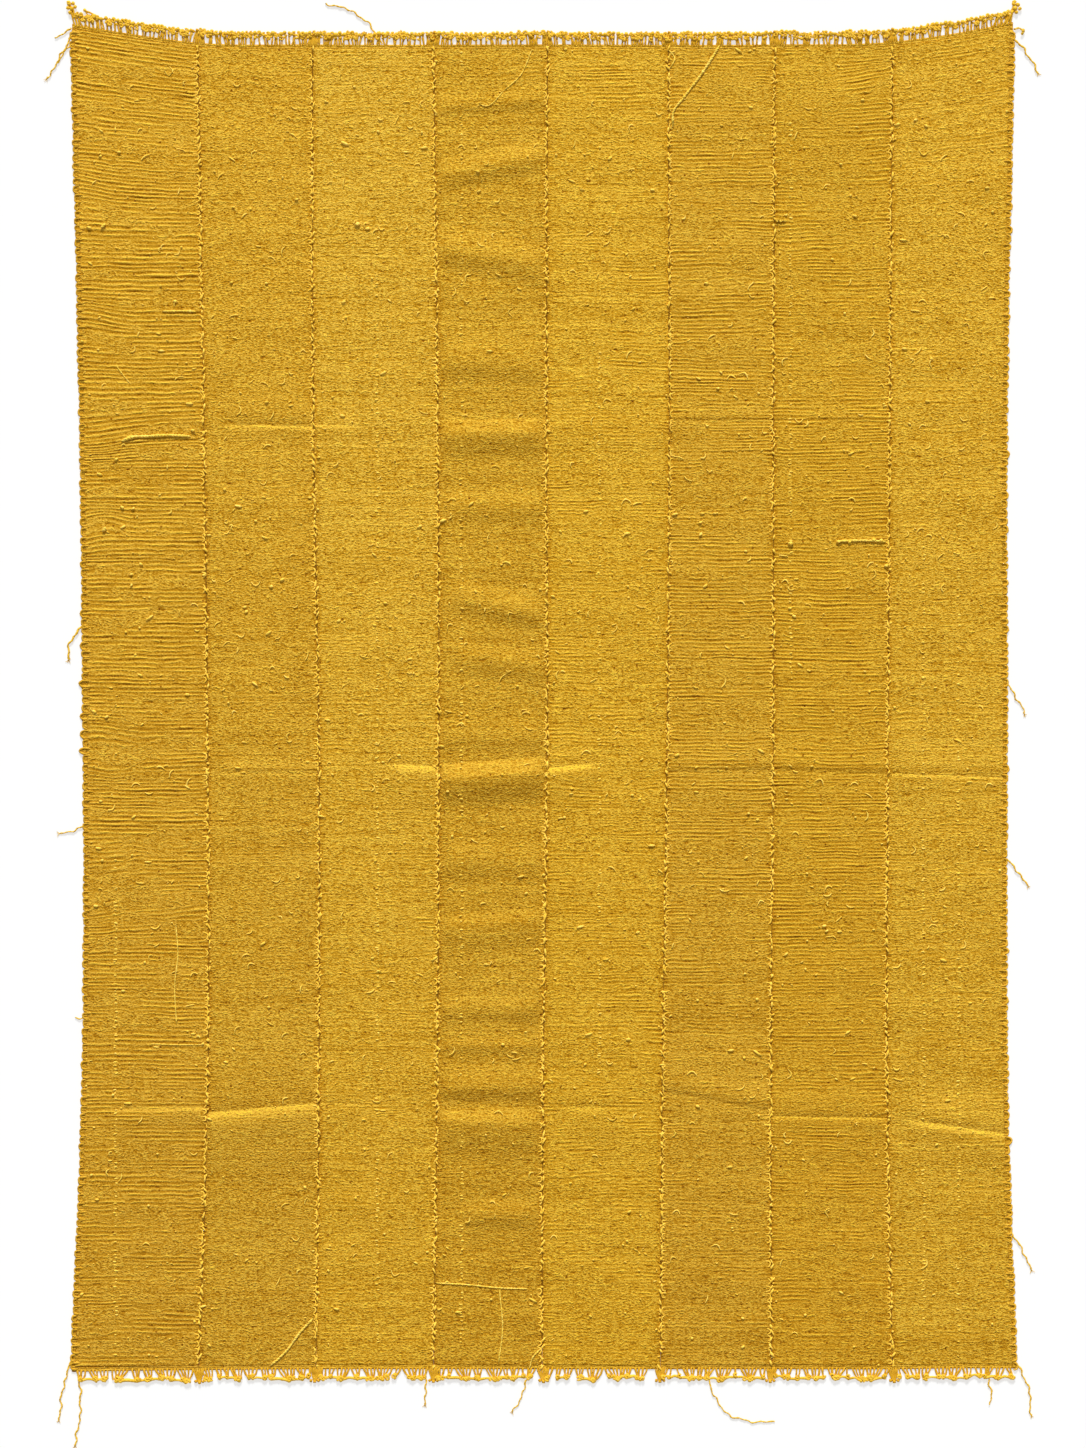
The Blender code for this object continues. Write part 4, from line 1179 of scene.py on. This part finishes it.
# Loose threads: the node they stand for, root, tip, bow to the left of the way out, radius, and
# their end: 0 plain, 1 knotted, 2 frayed
looseThreads = (
    ("edging_left", -0.534, 0.788, -0.5535, 0.7780, 0.001, 0.0012, 0),
    ("edging_left", -0.534, 0.780, -0.5615, 0.7313, 0.001, 0.0013, 2),
    ("edging_left", -0.533, 0.770, -0.5501, 0.7484, -0.002, 0.0011, 0),
    ("edging_left", -0.520, 0.112, -0.5376, 0.0730, -0.006, 0.0016, 2),
    ("edging_left", -0.520, -0.115, -0.5467, -0.1252, 0.001, 0.0011, 2),
    ("edging_left", -0.521, -0.333, -0.5300, -0.3325, 0.001, 0.0010, 0),
    ("edging_left", -0.534, -0.720, -0.5478, -0.7891, -0.003, 0.0013, 2),
    ("edging_right", 0.533, 0.787, 0.5438, 0.7857, 0.001, 0.0013, 1),
    ("edging_right", 0.533, 0.776, 0.5603, 0.7370, 0.003, 0.0014, 2),
    ("edging_right", 0.525, 0.047, 0.5455, 0.0119, 0.001, 0.0012, 2),
    ("edging_right", 0.525, -0.153, 0.5490, -0.1830, 0.001, 0.0013, 2),
    ("edging_right", 0.530, -0.575, 0.5535, -0.6180, 0.001, 0.0012, 2),
    ("edging_right", 0.535, -0.722, 0.5523, -0.7835, 0.006, 0.0013, 2),
    ("fringe_top_1", -0.5268, 0.790, -0.5360, 0.8175, 0.0, 0.0014, 1),
    ("fringe_top_3", -0.1820, 0.770, -0.2464, 0.8160, -0.011, 0.0012, 0),
    ("fringe_top_8", 0.5258, 0.792, 0.5342, 0.8175, 0.0, 0.0014, 1),
    ("fringe_bottom_1", -0.5270, -0.733, -0.5308, -0.8175, 0.005, 0.0013, 2),
    ("fringe_bottom_3", -0.1330, -0.731, -0.1330, -0.7710, 0.0, 0.0012, 2),
    ("fringe_bottom_4", -0.0150, -0.731, -0.0334, -0.7790, 0.002, 0.0012, 2),
    ("fringe_bottom_6", 0.1850, -0.731, 0.2623, -0.7902, -0.025, 0.0011, 0),
    ("fringe_bottom_8", 0.5020, -0.730, 0.5070, -0.7710, 0.002, 0.0012, 0),
)
threadLook = {
    "step": 0.0016,
    "wander": 0.0007,
    "wanderLengths": (0.011, 0.019, 0.031),
    "rootHeight": 0.0018,
    "splitLength": 0.007,
    "splitRadius": 0.00045,
    "splitHeight": 0.0008,
    "spun": {"twist": 700.0, "flatness": 0.74, "sides": 7},
}


def threadPaths(node):
    paths, look = [], threadLook
    for number, (owner, rootX, rootY, tipX, tipY, bow, radius, end) in enumerate(looseThreads):
        if owner != node:
            continue
        source = random.Random(number + 400)
        length = math.hypot(tipX - rootX, tipY - rootY)
        ahead = ((tipX - rootX) / length, (tipY - rootY) / length)
        steps = max(int(length / look["step"]), 4)
        phases = [source.uniform(0, 2 * math.pi) for _ in range(3)]
        points = []
        for i in range(steps + 1):
            s = i / steps
            drift = 0
            for wave, phase in zip(look["wanderLengths"], phases):
                drift += math.sin(s * length / wave * 2 * math.pi + phase)
            side = bow * math.sin(math.pi * s) + look["wander"] * drift * min(s * 4, 1.0)
            z = look["rootHeight"] * (1.0 - s) + radius * s
            x = rootX + (tipX - rootX) * s - ahead[1] * side
            points.append((x, rootY + (tipY - rootY) * s + ahead[0] * side, z))
        radii = [radius * (1.0 - 0.15 * i / steps) for i in range(steps + 1)]
        paths.append((points, radii))
        x, y, _ = points[-1]
        if end == 1:
            paths.append(bead(x, y, 0.0024, 0.0025, source.uniform(0, 3)))
            paths.append(bead(x + source.uniform(-0.003, 0.003), y - 0.003, 0.0022, 0.0021, 1.0))
        if end == 2:
            for fan in (-0.5, -0.1, 0.4):
                turn = math.atan2(ahead[1], ahead[0]) + fan + source.uniform(-0.15, 0.15)
                reach = look["splitLength"] * source.uniform(0.6, 1.0)
                tips = []
                for s in (0, 0.4, 0.7, 1.0):
                    bent, far = turn + fan * s * 0.5, s - 0.3
                    tip = (x + math.cos(bent) * reach * far, y + math.sin(bent) * reach * far)
                    tips.append((*tip, look["splitHeight"]))
                paths.append((tips, [look["splitRadius"] * k for k in (1.6, 1.3, 1.0, 0.6)]))
    return paths


# Fringe: legs of warp that end in knots and curls, which make a bumpy border
fringeLook = {
    "reach": 0.0148,
    "legRadius": 0.0013,
    "knotRadius": 0.0025,
    "curlRadius": 0.0018,
    "curlYarn": 0.0013,
    "linkRadius": 0.0015,
    "topStep": 0.0046,
    "groupStep": 0.0042,
    "clumpWidth": 0.0105,
    "clumpRadius": 0.0021,
    "step": 0.0020,
    "legBend": 0.0008,
    "topLean": 0.0022,
    "secondLeg": (0.35, 0.0026),  # how often a second leg stands beside one, and how far off
    "topBeads": 0.45,  # share of beads at the tips; the other tips are curls
    "lowerRows": (0.0026, 0.0046),
    "groups": (1, 2, 2, 3, 3, 4, 5),
    "tipSpread": 0.0016,
}


# The level at which a woven end lies at mid-width
def endY(top):
    return cloth["stationY"][-1 if top else 0]


def sidesAt(strip, y):
    return float(sideX(strip, y, False)), float(sideX(strip, y, True))


def leg(rootX, tipX, tipY, top, lean, radius):
    side = 1.0 if top else -1.0
    fell = float(fellY(rootX, top))
    bendX = rootX + (tipX - rootX) * 0.45 + lean
    points = [(rootX, fell - side * 0.0034, 0.0008), (rootX, fell - side * 0.0008, 0.0014)]
    points += [(bendX, (fell + tipY) / 2, 0.0013), (tipX, tipY, 0.0017)]
    points = smoothPath(points, fringeLook["step"])
    return points, [radius * min(0.42 + 4.0 * i / len(points), 1.0) for i in range(len(points))]


def curl(x, y, source):
    start = source.uniform(0.0, 2.0 * math.pi)
    reach = fringeLook["curlRadius"] * source.uniform(0.75, 1.25)
    height = 0.0022 + source.uniform(0.0, 0.0012)
    points = []
    for i in range(7):
        turn = start + i / 6 * 5.2
        wide = reach * (0.75 + 0.06 * i)
        z = height + 0.0003 * math.sin(turn * 2)
        points.append((x + math.cos(turn) * wide, y + math.sin(turn) * wide, z))
    return points, [fringeLook["curlYarn"] * source.uniform(0.85, 1.15)] * 7


def link(first, last, sag, source):
    middle = ((first[0] + last[0]) / 2, (first[1] + last[1]) / 2 + sag, 0.0019)
    points = smoothPath([first, middle, last], fringeLook["step"])
    return points, [fringeLook["linkRadius"] * source.uniform(0.85, 1.3)] * len(points)


def topLoops(strip, source):
    look = fringeLook
    left, right = sidesAt(strip, endY(True))
    legs, knots, x, last = [], [], left + 0.003, None
    while x < right - 0.002:
        size = look["knotRadius"] * source.uniform(0.72, 1.12)
        tall = 0.0010 * float(waves(np.array(x), np.array(0.0), 0.030, 1.0, 300))
        tall += source.uniform(-0.0016, 0.0008)
        tip = (x, float(fellY(x, True)) + look["reach"] + tall - size, size)
        lean = source.uniform(-look["topLean"], look["topLean"])
        bend = source.uniform(-look["legBend"], look["legBend"])
        legs.append(leg(x + lean, x, tip[1], True, bend, look["legRadius"]))
        often, aside = look["secondLeg"]
        if source.random() < often:
            other = x + lean + source.choice((-aside, aside))
            legs.append(leg(other, x, tip[1], True, 0.0, look["legRadius"] * 0.9))
        if source.random() < look["topBeads"]:
            knots.append(bead(*tip, size, source.uniform(-0.7, 0.7)))
        else:
            knots.append(curl(tip[0], tip[1], source))
        for far in look["lowerRows"]:
            lower = (x + source.uniform(-0.0024, 0.0024), tip[1] - far - source.uniform(-0.0008, 0.0012))
            if source.random() < 0.45:
                knots.append(curl(*lower, source))
            elif source.random() < 0.75:
                small = size * source.uniform(0.62, 0.85)
                knots.append(bead(*lower, small, small, source.uniform(-0.7, 0.7)))
        if last is not None and source.random() > 0.06:
            knots.append(link(last, tip, source.uniform(-0.0022, -0.0004), source))
        last = tip
        x += look["topStep"] * source.uniform(0.75, 1.25)
    return legs, knots


def bottomLoops(strip, source):
    look = fringeLook
    left, right = sidesAt(strip, endY(False))
    legs, knots, x, last = [], [], left + 0.003, None
    while x < right - 0.006:
        count = source.choice(look["groups"])
        width = look["groupStep"] * max(count - 1, 0.5)
        if x + width > right - 0.002:
            break
        size = 0.0017 + 0.00012 * count
        reach = look["reach"] * (0.70 + 0.055 * count) + source.uniform(-0.001, 0.0012)
        middle = x + width / 2 + source.uniform(-0.004, 0.004)
        tip = (middle, float(fellY(middle, False)) - reach + size, size)
        for i in range(count):
            rootX = x + look["groupStep"] * i + source.uniform(-0.0006, 0.0006)
            radius = look["legRadius"] * source.uniform(0.9, 1.25)
            tipX = middle + (i - (count - 1) / 2) * look["tipSpread"]
            bend = source.uniform(-look["legBend"], look["legBend"])
            legs.append(leg(rootX, tipX, tip[1] + 0.0012, False, bend, radius))
        knots.append(bead(*tip, size, source.uniform(-0.5, 0.5)))
        for _ in range(count):
            aside = middle + source.uniform(-0.5, 0.5) * width * 0.7
            knots.append(curl(aside, tip[1] + source.uniform(0.0006, 0.0034), source))
        if last is not None and source.random() > 0.12:
            knots.append(link(last, tip, source.uniform(0.0006, 0.0030), source))
        last = tip
        x += width + look["groupStep"] * source.uniform(0.7, 1.3)
    return legs, knots


# Where two strips meet, their last warp ends are drawn to one point
def clump(line, top, source):
    radius = fringeLook["clumpRadius"]
    x = float(lineX(line, endY(top)))
    side = 1.0 if top else -1.0
    apexX = x + source.uniform(-0.002, 0.002)
    apexY = float(fellY(x, top)) + side * (fringeLook["reach"] + 0.0004)
    paths = [bead(apexX, apexY - side * 0.0015, 0.0022, radius)]
    for aside in (-0.0042, 0.0042):
        paths.append(bead(apexX + aside, apexY - side * 0.0028, 0.0021, radius, source.uniform(0, 3)))
    for i in range(6):
        rootX = x + fringeLook["clumpWidth"] * (i / 5 - 0.5)
        paths.append(leg(rootX, apexX + (i - 2.5) * 0.0004, apexY - side * 0.002, top, 0.0, 0.0012))
    return paths


# Corners, where the outermost warp ends are gathered and pulled up
cornerYarns = {
    "fringe_top_1": (
        (0.0012, ((-0.5300, 0.7900, 0.0015), (-0.5330, 0.8010, 0.0020), (-0.5352, 0.8120, 0.0024))),
        (0.0012, ((-0.5270, 0.7895, 0.0015), (-0.5300, 0.8000, 0.0026), (-0.5320, 0.8100, 0.0030))),
        (0.0011, ((-0.5200, 0.7880, 0.0013), (-0.5250, 0.7960, 0.0016), (-0.5300, 0.8050, 0.0022))),
        (0.0010, ((-0.5145, 0.7868, 0.0013), (-0.5200, 0.7960, 0.0016), (-0.5260, 0.8040, 0.0022))),
        (0.0010, ((-0.5075, 0.7860, 0.0013), (-0.5120, 0.7950, 0.0015), (-0.5180, 0.8075, 0.0020))),
        (0.0011, ((-0.5190, 0.8080, 0.0018), (-0.5140, 0.8060, 0.0018), (-0.5080, 0.8030, 0.0018))),
        (0.0009, ((-0.5020, 0.7855, 0.0013), (-0.5050, 0.7930, 0.0015), (-0.5090, 0.8020, 0.0018))),
    ),
    "fringe_top_8": (
        (0.0012, ((0.5290, 0.7920, 0.0015), (0.5310, 0.8030, 0.0022), (0.5325, 0.8130, 0.0024))),
        (0.0012, ((0.5250, 0.7915, 0.0015), (0.5290, 0.8010, 0.0028), (0.5350, 0.8110, 0.0026))),
        (0.0011, ((0.5200, 0.7900, 0.0014), (0.5260, 0.7990, 0.0018), (0.5330, 0.8070, 0.0024))),
        (0.0011, ((0.5150, 0.7890, 0.0013), (0.5200, 0.7970, 0.0016), (0.5270, 0.8040, 0.0022))),
        (0.0010, ((0.5090, 0.7880, 0.0013), (0.5130, 0.7960, 0.0016), (0.5200, 0.8020, 0.0020))),
    ),
}
cornerKnots = {
    "fringe_top_1": (
        (-0.5370, 0.8155, 0.0024), (-0.5322, 0.8160, 0.0023), (-0.5300, 0.8120, 0.0022),
        (-0.5378, 0.8108, 0.0023), (-0.5335, 0.8100, 0.0026), (-0.5355, 0.8055, 0.0023),
        (-0.5190, 0.8085, 0.0019), (-0.5080, 0.8020, 0.0023), (-0.5045, 0.7990, 0.0022),
    ),
    "fringe_top_8": (
        (0.5330, 0.8155, 0.0025), (0.5376, 0.8145, 0.0024), (0.5399, 0.8100, 0.0023),
        (0.5345, 0.8105, 0.0026), (0.5310, 0.8060, 0.0022), (0.5360, 0.8060, 0.0022),
        (0.5200, 0.8020, 0.0022), (0.5160, 0.8005, 0.0021),
    ),
}
headingLook = {
    "columns": 64,
    "inward": (0.0, 0.0006, 0.0014, 0.0022, 0.0030, 0.0038, 0.0044),
    "height": (0.0009, 0.0016, 0.0021, 0.0018, 0.0014, 0.0019, 0.0020, 0.0014),
    "lumps": 0.16,
    "overlap": 1.8,  # how far headings and edgings reach towards the strips, in gaps
}


# A narrow shell in a strip's cotton with one shade all over
def plainShell(name, face, step, strip, ribbing, tone):
    uv = face[:, :, :2] / weave["pitch"]
    flat = np.zeros(uv.shape[:2])
    mesh = shellMesh(name, face, flat, step, uv, {"ribbing": flat + ribbing, "tone": flat + tone})
    mesh.materials.append(bpy.data.materials[f"cotton_{strip}"])
    return mesh


# The last few wefts of a strip, a narrow band along its woven end
def headingMesh(strip, top):
    look = headingLook
    left, right = sidesAt(strip, endY(top))
    x = left + (right - left) * np.linspace(0.0, 1.0, look["columns"])
    inward = np.array([*look["inward"], cloth["headingWidth"] + cloth["gap"] * look["overlap"]])
    across, step = np.meshgrid(x, inward)
    level = fellY(across, top) - (1.0 if top else -1.0) * step
    lumps = 1.0 + look["lumps"] * waves(across, level, 0.006, 1.0, strip * 3 + top)
    face = np.stack([across, level, np.array(look["height"])[:, None] * lumps], axis=-1)
    return plainShell("heading", face[::-1] if top else face, 3, strip, 0.5, 1.0)


def makeFringe(strip, top):
    node = f"fringe_{'top' if top else 'bottom'}_{strip}"
    source = random.Random(strip * 10 + top)
    legs, knots = topLoops(strip, source) if top else bottomLoops(strip, source)
    if strip > 1:
        legs += clump(strip - 1, top, source)
    for radius, points in cornerYarns.get(node, ()):
        points = smoothPath(points, fringeLook["step"])
        legs.append((points, [radius] * len(points)))
    for x, y, radius in cornerKnots.get(node, ()):
        knots.append(bead(x, y, radius, radius, source.uniform(0, 3)))
    choices = {"twist": 700.0, "unevenness": 0.22, "sides": 5, "flatness": 0.85}
    meshes = [spin("loops", legs, legYarn, strip, **choices)]
    choices = {"twist": 0.0, "unevenness": 0.15, "fuzz": 0.0003, "sides": 7, "flatness": 1.0}
    meshes.append(spin("border", knots, fringeYarn, strip, **choices))
    meshes.append(headingMesh(strip, top))
    threads = threadPaths(node)
    if threads:
        meshes.append(spin("threads", threads, fringeYarn, strip + 40, **threadLook["spun"]))
    piece = joined(f"{node}_yarns", meshes)
    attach(piece, "root")
    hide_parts(node)


for strip in range(1, cloth["strips"] + 1):
    makeFringe(strip, True)
    makeFringe(strip, False)
print("fringes knotted")

# Side edges: a few wefts at a time turn back in a scallop, some of them standing proud
edgeLook = {
    "scallop": (0.0070, 0.0112),
    "proud": (0.0006, 0.0025),
    "sunk": 0.0006,
    "turnRadius": 0.0014,
    "reachIn": 0.0070,
    "leftBumps": (
        (0.122, 0.0016), (0.084, 0.0018), (0.041, 0.0034),
        (0.012, 0.0026), (-0.013, 0.0022), (-0.029, 0.0038),
    ),
    "rightBumps": (
        (0.560, 0.0024), (0.300, 0.0022), (0.110, 0.0020),
        (-0.050, 0.0022), (-0.260, 0.0022), (-0.470, 0.0024),
    ),
    "columns": 4,
    "ribs": 0.0003,
    "rimDrop": (0.0010, 0.0018),  # how far the outer rim drops, and over what width
    "pathStep": 0.0019,
}


def edgeScallops(right):
    source = random.Random(5 + right)
    scallops, y = [], 0.784
    while y > -0.724:
        height = source.uniform(*edgeLook["scallop"])
        proud = source.uniform(*edgeLook["proud"])
        for level, rise in edgeLook["rightBumps" if right else "leftBumps"]:
            proud += rise * (y - height < level <= y)
        scallops.append((y - height / 2, height / 2, proud))
        y -= height
    return scallops


def edgingShell(right):
    side = 1.0 if right else -1.0
    line = cloth["strips"] if right else 0
    low, high = float(fellY(lineX(line, -0.73), False)), float(fellY(lineX(line, 0.77), True))
    rows = np.linspace(low, high, int((high - low) / weave["pitch"] * 2))
    width = cloth["edgingWidth"] + cloth["gap"] * headingLook["overlap"]
    step, level = np.meshgrid(np.linspace(0.0, width, edgeLook["columns"] + 1), rows)
    bulge = np.full(level.shape, -edgeLook["sunk"])
    for middle, half, proud in edgeScallops(right):
        t = np.clip(1.0 - ((level - middle) / half) ** 2, 0.0, 1.0)
        bulge = bulge + (proud + edgeLook["sunk"] * 0.6) * np.sqrt(t)
    x = lineX(line, level) - side * step + side * bulge * np.clip(1.0 - step / cloth["edgingWidth"], 0.0, 1.0)
    ribs = edgeLook["ribs"] * np.where(np.arange(rows.size) % 2 == 0, -1.0, 1.0)[:, None]
    drop, over = edgeLook["rimDrop"]
    z = cloth["thickness"] - 0.0001 + ribs - drop * np.clip(1.0 - step / over, 0.0, 1.0) ** 2
    face = np.stack([x, level, z], axis=-1)
    return plainShell("edge", face[:, ::-1] if right else face, 2, 8 if right else 1, 0.8, 0.94)


def edgeTurns(right):
    side = 1.0 if right else -1.0
    line = cloth["strips"] if right else 0
    source = random.Random(15 + right)
    paths = []
    for middle, half, proud in edgeScallops(right):
        edge = float(lineX(line, middle))
        reach = edgeLook["reachIn"] * source.uniform(0.5, 1.5)
        slope = source.uniform(-0.0010, 0.0010)
        out = proud - edgeLook["turnRadius"] * 0.5
        points = [
            (edge - side * reach, middle + half * 0.80 + slope, 0.0011),
            (edge - side * reach * 0.4, middle + half * 0.86, 0.0021),
            (edge + side * out * 0.55, middle + half * 0.66, 0.0018),
            (edge + side * out, middle + half * 0.10, 0.0015),
            (edge + side * out * 0.6, middle - half * 0.50, 0.0018),
            (edge - side * reach * 0.4, middle - half * 0.74, 0.0021),
            (edge - side * reach * 0.8, middle - half * 0.70 - slope, 0.0011),
        ]
        points = smoothPath(points, edgeLook["pathStep"])
        radius = edgeLook["turnRadius"] * source.uniform(0.8, 1.15)
        shares = np.linspace(0.0, 1.0, len(points))
        paths.append((points, radius * np.clip(0.45 + np.minimum(shares, 1.0 - shares) * 3.5, 0.0, 1.0)))
    return paths


def makeEdging(right):
    node = "edging_right" if right else "edging_left"
    loops = spin("turns", edgeTurns(right), edgeYarn, 60 + right, twist=300.0, sides=5, flatness=0.9)
    threads = spin("threads", threadPaths(node), fringeYarn, 62 + right, **threadLook["spun"])
    piece = joined(f"{node}_turns", [edgingShell(right), loops, threads])
    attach(piece, "root")
    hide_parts(node)


makeEdging(False)
makeEdging(True)
print("edges turned")

studio = {
    "cameraHeight": 4.0,
    "frameHeight": 1.6406,
    "floorSize": 14.0,
    "floorHeight": -0.0002,
    "floorColour": (0.36, 0.36, 0.357, 1.0),
    "floorGlow": 0.63,
    "skyStrength": 0.40,
    "sunStrength": 3.7,
    "sunHeight": 33.0,
    "sunTurn": 0.0,
    "sunAngle": 14.0,
}


def makeFloor():
    size = studio["floorSize"] / 2
    corners = ((-size, -size), (size, -size), (size, size), (-size, size))
    mesh = bpy.data.meshes.new("floor")
    mesh.from_pydata([(x, y, studio["floorHeight"]) for x, y in corners], [], [(0, 1, 2, 3)])
    shader = Shader("pale_floor")
    shader.feed(shader.principled, "Base Color", studio["floorColour"])
    shader.feed(shader.principled, "Emission Color", (1.0, 1.0, 1.0, 1.0))
    shader.feed(shader.principled, "Emission Strength", studio["floorGlow"])
    shader.feed(shader.principled, "Roughness", 0.9)
    shader.feed(shader.principled, "Specular IOR Level", 0.0)
    mesh.materials.append(shader.material)
    addPiece("floor", mesh)


def makeLight():
    world = bpy.data.worlds.new("studio")
    world.use_nodes = True
    world.node_tree.nodes["Background"].inputs["Color"].default_value = (1.0, 1.0, 1.0, 1.0)
    world.node_tree.nodes["Background"].inputs["Strength"].default_value = studio["skyStrength"]
    bpy.context.scene.world = world
    lamp = bpy.data.lights.new("key", "SUN")
    lamp.energy = studio["sunStrength"]
    lamp.angle = math.radians(studio["sunAngle"])
    key = bpy.data.objects.new("key", lamp)
    key.rotation_euler = (math.radians(studio["sunHeight"] - 90.0), 0.0, math.radians(studio["sunTurn"]))
    bpy.context.scene.collection.objects.link(key)


def makeCamera():
    data = bpy.data.cameras.new("camera")
    data.sensor_width = 36.0
    data.lens = data.sensor_width * studio["cameraHeight"] / studio["frameHeight"]
    data.clip_end = 50.0
    camera = bpy.data.objects.new("camera", data)
    camera.location = (0.0, 0.0, studio["cameraHeight"])
    bpy.context.scene.collection.objects.link(camera)
    bpy.context.scene.camera = camera


makeFloor()
makeLight()
makeCamera()
bpy.context.scene.view_settings.view_transform = "Standard"
print("studio ready")
